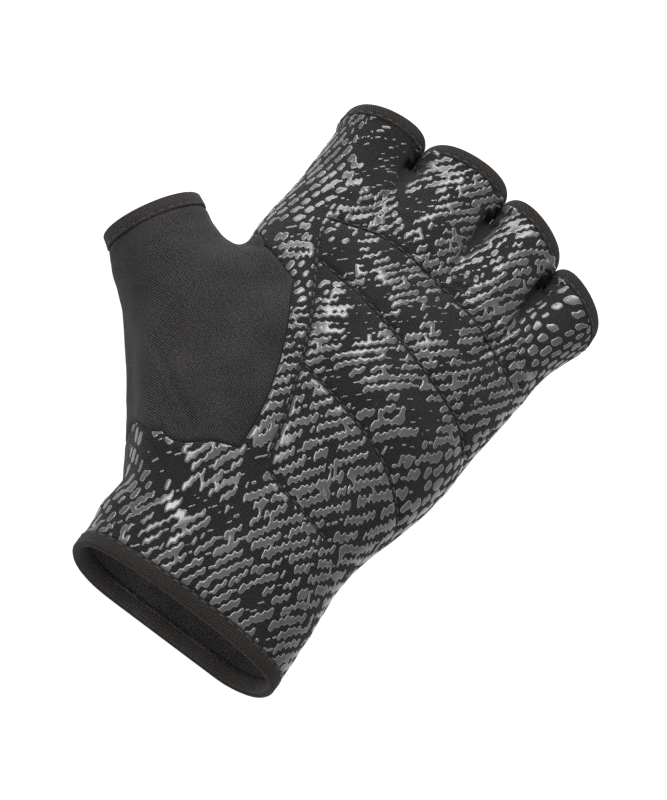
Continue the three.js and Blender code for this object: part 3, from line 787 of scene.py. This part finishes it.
def tape_profile(outside, inside):
    """The closed section of a folded tape, for its widths outside and inside the opening."""
    thick = PLAIN_CLOTH + 2 * TAPE_PROUD
    middle = TAPE_PROUD - thick / 2
    fold = []
    for t in np.linspace(math.pi / 2, -math.pi / 2, 13):
        rise_share = 0.96 * math.sin(t)
        fold.append((FOLD_DEPTH * (1 - math.sqrt(1 - rise_share ** 2)),
                     middle + thick / 2 * rise_share))
    top = [(outside, -0.35), (outside - 0.02, -0.1), (outside - 0.08, 0.15),
           (outside - 0.22, 0.29), (outside - 0.42, 0.33), (outside - 0.62, 0.25),
           (outside - 0.75, 0.15), (outside - 0.88, 0.22), (outside - 1.1, 0.35),
           (outside - 1.4, 0.41), (outside - 1.8, 0.43)]
    under = [(inside - 1.5, middle * 2 - 0.5), (inside - 1.0, middle * 2 - 0.42),
             (inside - 0.8, middle * 2 - 0.3), (inside - 0.6, middle * 2 - 0.40),
             (inside - 0.3, middle * 2 - 0.36), (inside - 0.1, middle * 2 - 0.2),
             (inside, middle * 2 + 0.15)]
    between = [(1.5, middle * 2 + 0.1), (1.2, middle - 0.3), (1.1, middle), (1.2, middle + 0.3),
               (1.5, -0.1)]
    return top + fold + under + between


def on_tape(stations, s, h):
    """Points at a distance s from an opening's edge and at a height h, one for each station."""
    at, facing = plain_points[stations], plain_out[stations]
    runs = np.linalg.norm(np.diff(at, axis=1), axis=2)
    runs = np.concatenate([np.zeros((len(at), 1)), np.cumsum(runs, axis=1)], axis=1)
    upper = np.array([min(len(run) - 1, max(1, np.searchsorted(run, s))) for run in runs])
    row = np.arange(len(at))
    low, high = runs[row, upper - 1], runs[row, upper]
    t = ((s - low) / (high - low))[:, None]
    p = mix(at[row, upper - 1], at[row, upper], t)
    n = mix(facing[row, upper - 1], facing[row, upper], t)
    n /= np.linalg.norm(n, axis=1, keepdims=True)
    return p + n * h, n


def binding(name, stations, profile, material, walls):
    """One folded tape round an opening, kept between the walls beside its finger."""
    rings = np.stack([on_tape(stations, s, h)[0] for s, h in profile], axis=1)
    rings[..., 0] = np.clip(rings[..., 0], *walls)
    stations_round, section_points = rings.shape[:2]
    around = np.linalg.norm(np.roll(rings, -1, axis=0) - rings, axis=2).mean(1)
    around = np.concatenate([[0], np.cumsum(around)])
    section = np.linalg.norm(np.roll(rings, -1, axis=1) - rings, axis=2).mean(0)
    section = np.concatenate([[0], np.cumsum(section)])
    faces, places = [], []
    for i in range(stations_round):
        for j in range(section_points):
            here, after = i * section_points, (i + 1) % stations_round * section_points
            next_j = (j + 1) % section_points
            faces.append((here + j, here + next_j, after + next_j, after + j))
            places += [(around[i], section[j]), (around[i], section[j + 1]),
                       (around[i + 1], section[j + 1]), (around[i + 1], section[j])]
    made = link(name + "_tape", rings.reshape(-1, 3), faces)
    layer = made.data.uv_layers.new(name="cut")
    layer.uv.foreach_set("vector", (np.array(places) * 0.001).astype(np.float32).ravel())
    made.data.materials.append(material)
    # The tape's inner part takes the lighter copy of its knit: painted light in the shade inside the
    # opening.
    made.data.materials.append(tape_inside_painted_light)
    is_under = np.tile(np.arange(section_points) >= PAINTED_LIGHT_FROM, stations_round)
    made.data.polygons.foreach_set("material_index", is_under.astype(np.int32))
    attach(made, "root")
    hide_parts(name + "_binding")
    return made


def stitches(name, path, facing, stitch=2.1, gap=0.7, radius=0.2, sunk=0.0):
    """A row of stitches along a path, each a short thread that dips into the cloth at its ends."""
    run = np.concatenate([[0], np.cumsum(np.linalg.norm(np.diff(path, axis=0), axis=1))])
    count = int(run[-1] // (stitch + gap))
    points, faces = [], []
    rings, sides = 6, 6
    for i in range(count):
        s = (i + 0.5) * run[-1] / count + stitch * np.linspace(-0.5, 0.5, rings)
        p = np.stack([np.interp(s, run, path[:, k]) for k in range(3)], 1)
        n = np.stack([np.interp(s, run, facing[:, k]) for k in range(3)], 1)
        n /= np.linalg.norm(n, axis=1, keepdims=True)
        along = np.gradient(p, axis=0)
        along /= np.linalg.norm(along, axis=1, keepdims=True)
        side = np.cross(along, n)
        swell = np.sqrt(np.maximum(0, 1 - np.linspace(-0.96, 0.96, rings) ** 4))
        start = len(points)
        for k in range(rings):
            centre = p[k] + n[k] * (radius * (swell[k] - 0.4) - sunk)
            for q in range(sides):
                angle = 2 * math.pi * q / sides
                spoke = math.cos(angle) * side[k] + math.sin(angle) * n[k]
                points.append(centre + spoke * radius * (0.45 + 0.55 * swell[k]))
        for k in range(rings - 1):
            for q in range(sides):
                a, b = start + k * sides + q, start + k * sides + (q + 1) % sides
                faces.append((a, b, b + sides, a + sides))
        faces.append(tuple(start + q for q in range(sides))[::-1])
        faces.append(tuple(start + (rings - 1) * sides + q for q in range(sides)))
    made = link(name, points, faces)
    made.data.materials.append(thread)
    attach(made, "root")
    return made


thread, thread_main, _ = shader("dark_thread", 0.7, 0.1)
thread_main.inputs["Base Color"].default_value = (0.010, 0.009, 0.009, 1)
hem_knit = knit("thumb_hem", (0.004, 0.0036, 0.0034), (0.036, 0.032, 0.030), math.radians(80),
                0.0006, rib=0.7)
tape_knit = knit("binding_tape", (0.003, 0.0026, 0.0022), (0.028, 0.0240, 0.021),
                 math.radians(62), 0.0005, rib=0.75)
# A lighter copy of the tape's knit for the part inside each opening: painted light against the shade
# there.
tape_inside_painted_light = knit("tape_inside_painted_light", (0.013, 0.0120, 0.0112), (0.105, 0.0965, 0.090),
                    math.radians(62), 0.0005, rib=0.75)

wrist_stations = np.concatenate([
    ids(0, SIDES, 0, 2)[:-1], ids(BACK_PLAN, BACK_PLAN + SIDES, 0, 2)[:0:-1]])
stations = {"wrist": wrist_stations}
for i, name in enumerate(FINGER_NAMES):
    u = FINGER_PLAN + FINGER_PLAN_STEP * i
    edge = WEB_ROW + len(SLEEVE) + 1
    stations[name] = ids(u, u + 2 * PER_FINGER, edge - 3, edge)[:-1, ::-1]
stations["thumb"] = ids(THUMB_PLAN, THUMB_PLAN + 16, len(THUMB_SECTIONS) - 1,
                        len(THUMB_SECTIONS) + 1)[:-1, ::-1]
between_fingers = [line["across"] * HAND_WIDTH / 2 for line in FINGER_LINES]
between_fingers[0], between_fingers[-1] = -math.inf, math.inf
for name, found in stations.items():
    walls = (-math.inf, math.inf)
    if name in FINGER_NAMES:
        i = FINGER_NAMES.index(name)
        walls = (between_fingers[i] + 0.02, between_fingers[i + 1] - 0.02)
    binding(name, found, tape_profile(OUTSIDE_WIDTH, INSIDE_WIDTH),
            hem_knit if name == "thumb" else tape_knit, walls)
    # The stitches lie in the groove on either side: how far in it is, and how high.
    for part, s, h in (("outside", OUTSIDE_WIDTH - 0.75, 0.17),
                       ("inside", INSIDE_WIDTH - 0.8, -PLAIN_CLOTH - TAPE_PROUD + 0.2)):
        path, facing = on_tape(found, s, h)
        path[:, 0] = np.clip(path[:, 0], *walls)
        path, facing = np.concatenate([path, path[:1]]), np.concatenate([facing, facing[:1]])
        if part == "inside":
            facing = -facing
        stitches(f"{name}_stitches_{part}", path, facing, radius=0.24, sunk=0.05)

# The sewn lines of the palm: rows of dark thread stitched through knit and foam, which part the
# padding into fields and sink into it.
palm_faces = fine.faces[fine.piece == PIECES.index("palm_panel")]
palm_tree = BVHTree.FromPolygons(fine.points.tolist(), palm_faces.tolist())
for name, line in SEWN_LINES.items():
    line = np.array(line)
    run = np.concatenate([[0], np.cumsum(np.hypot(*np.diff(line, axis=0).T))])
    where = np.arange(0, run[-1], 0.5)
    path, facing = [], []
    for x, y in zip(np.interp(where, run, line[:, 0]), np.interp(where, run, line[:, 1])):
        hit, normal, _, _ = palm_tree.ray_cast((x, y, 60), (0, 0, -1))
        if hit is not None:
            path.append(hit)
            facing.append(normal)
    stitches(name, np.array(path), np.array(facing), stitch=1.9, gap=0.8, radius=0.30)

# The grip print: silicone printed on the palm's knit before sewing, as bars with scalloped
# edges, single cells, links and dashes in wandering rows. It is drawn as a field on the flat
# cut, above zero where there is silicone, and laid on the palm as a low rounded relief.

# The rows run slantwise over the palm, and the whole pattern is drawn out along the hand.
PRINT_TURN = math.radians(36.87)
PRINT_SQUEEZE = math.cos(math.radians(28))
CELL_PITCH = 1.68
ROW_PITCH = 2.75
FIELD_STEP = 0.12
PRINT_HEIGHT = 0.14
PRINT_ROUNDING = 0.25
FIELD_LOW = np.array((-40.0, -35.0))
FIELD_SIZE = np.array((180.0, 185.0))
PITCH_CHANGES = (
    # x, y, reach, change
    (56.0, 30.0, 18, 0.6), (88.0, 62.0, 15, 0.6), (46.0, 68.0, 15, -0.6), (76.0, 104.0, 15, -0.35),
    (12.0, 95.0, 18, 0.9), (10.0, 20.0, 14, 0.1),
)
# Places with hardly any print, and places with single cells: x and y of the middle on the flat
# cut, and the reach each way.
BARE = (
    (-27, 142, 9, 12), (-19, 101, 6, 5), (-9, 116, 5, 5), (-13, 132, 4, 7), (-5, 96, 5, 6),
    (15, 106, 4, 5), (7, 71, 8, 3), (24, 79, 6, 5), (-24, 27, 7, 4), (-12, 24, 4, 3),
    (-2, 88, 4, 5), (14, 12, 4, 4), (6, 99, 3, 5), (-4, 40, 4, 5),
)
DOTTED = (
    (-45, 117, 13, 27), (44, 70, 9, 22), (46, 130, 16, 17), (-22, 88, 7, 9), (-32, 20, 8, 14),
    (-22, 105, 4, 7), (34, 110, 6, 5),
)
# How each cell of a bar leans, and each single cell.
LEAN = np.array((0.36, 0.62))
DOT_LEAN = np.array((0.50, 0.48))
BAR_RADIUS = 0.58
LINK_RADIUS = 0.62
# How often a bare place and a gap in a row have a dash, and a single cell is there or linked.
DASH_IN_BARE = 0.55
DASH_IN_GAP = 0.6
CELL_THERE = 0.94
CELL_LINKED = 0.18
# A bar ends where the weakness of its row is above the first value, and its cells part above
# the second, unless chance keeps them together. Chance also links some bars to the next row.
ENDS_ABOVE = 0.85
PARTS_ABOVE = 0.55
KEPT_TOGETHER = 0.4
ROWS_LINKED = 0.10
draw = np.random.default_rng(11)
field_shape = np.ceil(FIELD_SIZE / FIELD_STEP).astype(int)
field = np.full(field_shape, -2.0)
thin = np.full(field_shape, -2.0)


def stamp(target, a, b, radius, blend=0.0):
    """Adds a round-ended bar from a to b to a field, melted into what is there by the blend."""
    a, b = np.asarray(a, float), np.asarray(b, float)
    margin = radius + 0.9
    low = np.floor((np.minimum(a, b) - margin - FIELD_LOW) / FIELD_STEP).astype(int)
    high = np.ceil((np.maximum(a, b) + margin - FIELD_LOW) / FIELD_STEP).astype(int)
    low, high = np.maximum(low, 0), np.minimum(high, field_shape)
    if (high <= low).any():
        return
    x = FIELD_LOW[0] + np.arange(low[0], high[0])[:, None] * FIELD_STEP
    y = FIELD_LOW[1] + np.arange(low[1], high[1])[None, :] * FIELD_STEP
    d = b - a
    t = np.clip(((x - a[0]) * d[0] + (y - a[1]) * d[1]) / max(d @ d, 1e-9), 0, 1)
    new = radius - np.hypot(x - a[0] - t * d[0], y - a[1] - t * d[1])
    part = target[low[0]:high[0], low[1]:high[1]]
    if blend:
        overlap = np.maximum(blend - np.abs(part - new), 0) / blend
        np.maximum(part, new, out=part)
        part += overlap ** 2 * blend / 4
    else:
        np.maximum(part, new, out=part)


def inside(ovals, p):
    """Above zero where a place lies in one of the ovals."""
    return max(1 - ((p[0] - x) / rx) ** 2 - ((p[1] - y) / ry) ** 2 for x, y, rx, ry in ovals)


def to_cut(p):
    """From the print's own turned axes to the flat cut of the palm."""
    along = (math.sin(PRINT_TURN) * p[0] + math.cos(PRINT_TURN) * p[1]) / PRINT_SQUEEZE
    return math.cos(PRINT_TURN) * p[0] - math.sin(PRINT_TURN) * p[1], along


def row_pitch(x, y):
    """How far the next row of the print lies, which changes over the palm."""
    pitch = ROW_PITCH + 0 * x
    for cx, cy, reach, change in PITCH_CHANGES:
        pitch = pitch + change * np.exp(-((x - cx) ** 2 + (y - cy) ** 2) / reach ** 2)
    return pitch


# The first row slopes and waves, and each later one lies a pitch further on.
ROW_SLOPE = 0.25
ROW_WAVE = 2.42
ROW_WAVE_LENGTH = 76
ROW_WAVE_START = 3
FIRST_ROW = -85
cells_across = int(FIELD_SIZE[0] / CELL_PITCH)
row_x = FIELD_LOW[0] + np.arange(cells_across + 1) * CELL_PITCH
wave = np.sin(2 * math.pi * (row_x - ROW_WAVE_START) / ROW_WAVE_LENGTH)
next_row = ROW_SLOPE * row_x + ROW_WAVE * wave + FIRST_ROW
rows = []
while next_row.min() < FIELD_LOW[1] + FIELD_SIZE[1]:
    rows.append(next_row)
    next_row = next_row + row_pitch(row_x, next_row)
for j, y_of in enumerate(rows):
    left, joined = 0, None
    cell_x = row_x + (j % 2) * CELL_PITCH / 2
    cells = np.stack([cell_x, np.interp(cell_x, row_x, y_of)], 1)
    cells = cells + draw.normal(size=cells.shape) * (0.10, 0.12)
    above = rows[j + 1] if j + 1 < len(rows) else y_of + 3
    for i, p in enumerate(cells):
        if not (FIELD_LOW < p).all() or not (p < FIELD_LOW + FIELD_SIZE).all():
            continue
        chance = draw.random(6)
        room = (np.interp(p[0], row_x, above) - p[1]) / ROW_PITCH
        on_cut = to_cut(p)
        bare, dotted = inside(BARE, on_cut), inside(DOTTED, on_cut)
        ragged = 0.35 * draw.normal()
        if bare + 0.5 * ragged > 0:
            joined = None
            if chance[0] < DASH_IN_BARE:
                half = draw.uniform(0.15, 0.75)
                q = p + (0, draw.uniform(-1, 1))
                stamp(thin, q - (half, half * 0.2), q + (half, half * 0.2), draw.uniform(0.14, 0.26))
            continue
        if dotted + 0.4 * ragged > 0:
            joined = None
            if (i + j % 2 + (j // 2)) % 2 == 0 and chance[0] < CELL_THERE:
                lean = DOT_LEAN * draw.uniform(0.7, 1.2) * min(1.15, room)
                size = draw.uniform(0.70, 0.92) * min(1.1, room)
                stamp(field, p - lean, p + lean, size, 0.2)
                if chance[1] < CELL_LINKED:
                    q = p + (1.6, 0.35)
                    stamp(field, p, q, 0.55, 0.3)
            continue
        weak = swirl(p, 6.0, 31) + 0.6 * swirl(p, 2.6, 32)
        if left <= 0 or weak > ENDS_ABOVE:
            left = int(draw.integers(2, 12))
            joined = None
            if chance[0] < DASH_IN_GAP:
                q = p + (0, draw.uniform(-0.6, 0.6))
                half = draw.uniform(0.1, 0.6)
                stamp(thin, q - (half, half * 0.2), q + (half, half * 0.2), draw.uniform(0.16, 0.4))
            continue
        left -= 1
        size = draw.uniform(0.50, 0.66) * min(1.15, room ** 0.7)
        lean = LEAN * min(1.2, room) * draw.uniform(0.8, 1.1)
        stamp(field, p - lean, p + lean, size, 0.15)
        if joined is not None and (weak < PARTS_ABOVE or chance[1] < KEPT_TOGETHER):
            stamp(field, joined, p, BAR_RADIUS * min(1.15, room ** 0.7), 0.25)
        joined = p
        if chance[4] < ROWS_LINKED and room < 1.25 and weak < 0.2:
            q = (p[0] + draw.normal() * 0.6, np.interp(p[0], row_x, above))
            stamp(field, p, q, LINK_RADIUS, 0.6)

# The edges of the print are uneven, in small, middling and large waves.
grid_x = FIELD_LOW[0] + np.arange(field_shape[0])[:, None] * FIELD_STEP
grid_y = FIELD_LOW[1] + np.arange(field_shape[1])[None, :] * FIELD_STEP
grid_at = np.stack(np.broadcast_arrays(grid_x, grid_y), -1)
field += (0.13 * swirl(grid_at, 1.3, 21) + 0.24 * swirl(grid_at, 3.0, 22)
          + 0.12 * swirl(grid_at, 9.0, 23) - 0.09)
field = np.maximum(field, thin + 0.03 * swirl(grid_at, 1.0, 24))


def look_up(grid, where):
    """Values of a field at places, between its grid points."""
    q = (where - FIELD_LOW) / FIELD_STEP
    i = np.clip(np.floor(q).astype(int), 0, field_shape - 2)
    t = np.clip(q - i, 0, 1)
    a, b = i[..., 0], i[..., 1]
    lower = mix(grid[a, b], grid[a + 1, b], t[..., 0])
    upper = mix(grid[a, b + 1], grid[a + 1, b + 1], t[..., 0])
    return mix(lower, upper, t[..., 1])


# The print's outline is found in small squares of the palm, cut where it crosses their edges.
# Each case says which corners (0 to 3) have print, and gives the faces from the corners and the
# crossings on the edges (4 to 7). The print stops short of seams, sewn lines, webs and creases.
PRINT_STEP = 0.285
BARE_AT_SEAM = 0.25
BARE_AT_SEWN = 0.5
BARE_AT_WEB = 4.6
BARE_AT_CREASE = 0.9
PRINT_SUNK = 0.03
CUTS = {
    1: ((0, 4, 7),), 2: ((1, 5, 4),), 3: ((0, 1, 5, 7),), 4: ((2, 6, 5),),
    5: ((0, 4, 7), (2, 6, 5)), 6: ((1, 2, 6, 4),), 7: ((0, 1, 2, 6, 7),), 8: ((3, 7, 6),),
    9: ((0, 4, 6, 3),), 10: ((1, 5, 4), (3, 7, 6)), 11: ((0, 1, 5, 6, 3),), 12: ((2, 3, 7, 5),),
    13: ((0, 4, 5, 2, 3),), 14: ((1, 2, 3, 7, 4),), 15: ((0, 1, 2, 3),),
}


def print_patch(found, hidden=None):
    """Points and faces of the print over a rectangle of the palm's points."""
    at = plain_points[found]
    spans = [np.nanmean(np.linalg.norm(np.diff(at, axis=k), axis=2), axis=1 - k) for k in (0, 1)]
    grids = []
    for span in spans:
        whole = np.concatenate([[0], np.cumsum(span)])
        count = max(2, int(round(whole[-1] / PRINT_STEP)))
        grids.append(np.interp(np.linspace(0, whole[-1], count + 1), whole, np.arange(len(whole))))
    u, v = np.meshgrid(*grids, indexing="ij")
    i = np.minimum(u.astype(int), found.shape[0] - 2)
    j = np.minimum(v.astype(int), found.shape[1] - 2)
    s, t = u - i, v - j
    corner_ids = [found[i, j], found[i + 1, j], found[i, j + 1], found[i + 1, j + 1]]
    weights = [(1 - s) * (1 - t), s * (1 - t), (1 - s) * t, s * t]

    def spread(values):
        extra = (slice(None), slice(None)) + (None,) * (values.ndim - 1)
        return sum(values[c] * w[extra] for c, w in zip(corner_ids, weights))

    flat = spread(cut)
    sideways, lengthways = flat[..., 0], PRINT_SQUEEZE * flat[..., 1]
    turned_x = math.cos(PRINT_TURN) * sideways + math.sin(PRINT_TURN) * lengthways
    turned_y = math.cos(PRINT_TURN) * lengthways - math.sin(PRINT_TURN) * sideways
    value = look_up(field, np.stack([turned_x, turned_y], -1))
    value = np.minimum(value, spread(to_rim) - BARE_AT_SEAM)
    value = np.minimum(value, spread(np.minimum(to_sewn, FAR_OFF)) - BARE_AT_SEWN)
    value = np.minimum(value, spread(to_web) - BARE_AT_WEB)
    value = np.minimum(value, spread(to_crease) - BARE_AT_CREASE)
    if hidden is not None:
        value[hidden(u, v)] = -1
    base, facing = spread(fine.points), spread(out)
    facing /= np.maximum(np.linalg.norm(facing, axis=2, keepdims=True), 1e-9)
    depth = np.clip(value / PRINT_ROUNDING, 0, 1)
    height = PRINT_HEIGHT * np.sqrt(1 - (1 - depth) ** 2) - PRINT_SUNK
    top = base + facing * height[..., None]
    low = base - facing * PRINT_SUNK
    n, m = value.shape
    number = np.arange(n * m).reshape(n, m)

    def crossings(a, b):
        """Where the outline crosses the edges between two sets of grid points."""
        va, vb = value[a], value[b]
        t = np.clip(va / np.where(np.abs(va - vb) < 1e-9, 1, va - vb), 0, 1)[..., None]
        return mix(low[a], low[b], t), mix(flat[a], flat[b], t)

    first = (slice(None, -1), slice(None))
    second = (slice(1, None), slice(None))
    along_u, flat_u = crossings(first, second)
    number_u = n * m + np.arange((n - 1) * m).reshape(n - 1, m)
    first = (slice(None), slice(None, -1))
    second = (slice(None), slice(1, None))
    along_v, flat_v = crossings(first, second)
    number_v = n * m + (n - 1) * m + np.arange(n * (m - 1)).reshape(n, m - 1)
    points = np.concatenate([top.reshape(-1, 3), along_u.reshape(-1, 3), along_v.reshape(-1, 3)])
    flats = np.concatenate([flat.reshape(-1, 2), flat_u.reshape(-1, 2), flat_v.reshape(-1, 2)])
    corners = [number[:-1, :-1], number[1:, :-1], number[1:, 1:], number[:-1, 1:],
               number_u[:, :-1], number_v[1:, :], number_u[:, 1:], number_v[:-1, :]]
    up = value > 0
    case = (up[:-1, :-1] * 1 + up[1:, :-1] * 2 + up[1:, 1:] * 4 + up[:-1, 1:] * 8)
    faces = []
    for which, shapes in CUTS.items():
        here = case == which
        for shape in shapes:
            faces += np.stack([corners[k][here] for k in shape], 1).tolist()
    edges = [value.reshape(-1), np.zeros(len(points) - n * m)]
    return points, np.column_stack([flats, np.concatenate(edges)]), faces


rim_edges = rim_of(palm_faces)
rim_ids = np.unique(palm_faces[rim_edges[:, 0], rim_edges[:, 1]])
rim_tree = tree_of(plain_points[rim_ids])
to_rim = np.zeros(len(fine.points))
to_rim[palm_ids] = [rim_tree.find(p)[2] for p in plain_points[palm_ids]]
thumb_from, thumb_to = (r - 1 for r in THUMB_ROWS)
patches = [print_patch(ids(0, SIDES, 1, WEB_ROW), lambda u, v: (u < PER_FINGER * STEPS)
                       & (v > thumb_from * STEPS) & (v < thumb_to * STEPS))]
for i in range(4):
    u = FINGER_PLAN + FINGER_PLAN_STEP * i
    patches.append(print_patch(ids(u, u + PER_FINGER, WEB_ROW, WEB_ROW + len(SLEEVE))))
all_points, all_flats, all_faces, count = [], [], [], 0
for points, flats, faces in patches:
    all_points.append(points)
    all_flats.append(flats)
    all_faces += [[k + count for k in face] for face in faces]
    count += len(points)
all_points, all_flats = np.concatenate(all_points), np.concatenate(all_flats)
used = np.unique(np.concatenate([np.array(f) for f in all_faces]))
renumber = np.full(len(all_points), -1)
renumber[used] = np.arange(len(used))
all_faces = [[int(renumber[k]) for k in face] for face in all_faces]
grip = link("grip_print", all_points[used], all_faces, all_flats[used, :2])
edge_layer = grip.data.uv_layers.new(name="edge")
corners = numbers(grip.data.loops, "vertex_index", 1, int).ravel()
from_edge = all_flats[used, 2][corners]
edge_layer.uv.foreach_set("vector", np.repeat(from_edge, 2).astype(np.float32))

# The silicone is a cloudy glossy grey. Its colour is made lighter towards its rim, a painted
# highlight along the edges of the print.
silicone, silicone_main, node = shader("silicone", 0.24)
place = node("UVMap", uv_map="cut")
cloudy = node("TexNoise", {"Vector": place.outputs["UV"]}, Scale=300.0, Detail=3.0)
tint = node("ValToRGB", {"Fac": cloudy.outputs["Fac"]})
tint.color_ramp.elements[0].position = 0.3
tint.color_ramp.elements[0].color = (0.044, 0.044, 0.047, 1)
tint.color_ramp.elements[1].position = 0.7
tint.color_ramp.elements[1].color = (0.065, 0.066, 0.070, 1)
rim = node("UVMap", uv_map="edge")
from_rim = node("SeparateXYZ", {"Vector": rim.outputs["UV"]})
# Painted highlight: the colour is up to 2.7 times lighter at the very rim of the print.
rim_painted_highlight = node("ValToRGB", {"Fac": from_rim.outputs["X"]})
rim_painted_highlight.color_ramp.elements[0].position = 0.05
rim_painted_highlight.color_ramp.elements[0].color = (2.7, 2.7, 2.7, 1)
rim_painted_highlight.color_ramp.elements[1].position = 0.30
rim_painted_highlight.color_ramp.elements[1].color = (1, 1, 1, 1)
both = node("MixRGB", {"Color1": tint.outputs["Color"], "Color2": rim_painted_highlight.outputs["Color"]},
            blend_type="MULTIPLY", Fac=1.0)
silicone.node_tree.links.new(both.outputs["Color"], silicone_main.inputs["Base Color"])
silk = node("Bump", {"Height": cloudy.outputs["Fac"]}, Strength=0.3, Distance=0.0001)
silicone.node_tree.links.new(silk.outputs["Normal"], silicone_main.inputs["Normal"])
grip.data.materials.append(silicone)
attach(grip, "root")

# A plain pale floor, a bright soft room, and four softboxes: two above the palm, one low beyond
# the fingers and one before the wrist.
FLOOR_REACH = 3.0
FLOOR_LOW = -0.0002
floor_corners = [(x * FLOOR_REACH, y * FLOOR_REACH, FLOOR_LOW)
                 for x, y in ((-1, -1), (1, -1), (1, 1), (-1, 1))]
floor_mesh = bpy.data.meshes.new("floor")
floor_mesh.from_pydata(floor_corners, [], [(0, 1, 2, 3)])
floor = bpy.data.objects.new("floor", floor_mesh)
bpy.context.scene.collection.objects.link(floor)
pale, pale_main, _ = shader("pale_floor", 0.9)
pale_main.inputs["Base Color"].default_value = (0.25, 0.25, 0.25, 1)
pale_main.inputs["Emission Color"].default_value = (1, 1, 1, 1)
pale_main.inputs["Emission Strength"].default_value = 0.93
floor_mesh.materials.append(pale)


def softbox(name, direction, distance, size, power):
    """A square soft light that faces the glove."""
    data = bpy.data.lights.new(name, "AREA")
    data.shape = "SQUARE"
    data.size = size
    data.energy = power
    light = bpy.data.objects.new(name, data)
    towards = Vector(direction).normalized()
    light.matrix_world = (Matrix.Translation(towards * distance)
                          @ towards.to_track_quat("Z", "Y").to_matrix().to_4x4())
    bpy.context.scene.collection.objects.link(light)


softbox("softbox_left", (-0.38, 0.08, 0.92), 1.0, 0.30, 6.0)
softbox("softbox_top", (-0.10, 0.66, 0.74), 1.0, 0.34, 6.4)
softbox("softbox_thumb", (-0.45, 0.88, 0.25), 1.1, 0.70, 10)
softbox("softbox_wrist", (-0.25, -1.0, 0.55), 1.1, 0.9, 5.5)
world = bpy.data.worlds.new("room")
world.use_nodes = True
world.node_tree.nodes["Background"].inputs["Color"].default_value = (1, 1, 1, 1)
world.node_tree.nodes["Background"].inputs["Strength"].default_value = 0.45
bpy.context.scene.world = world
bpy.context.scene.view_settings.view_transform = "Standard"
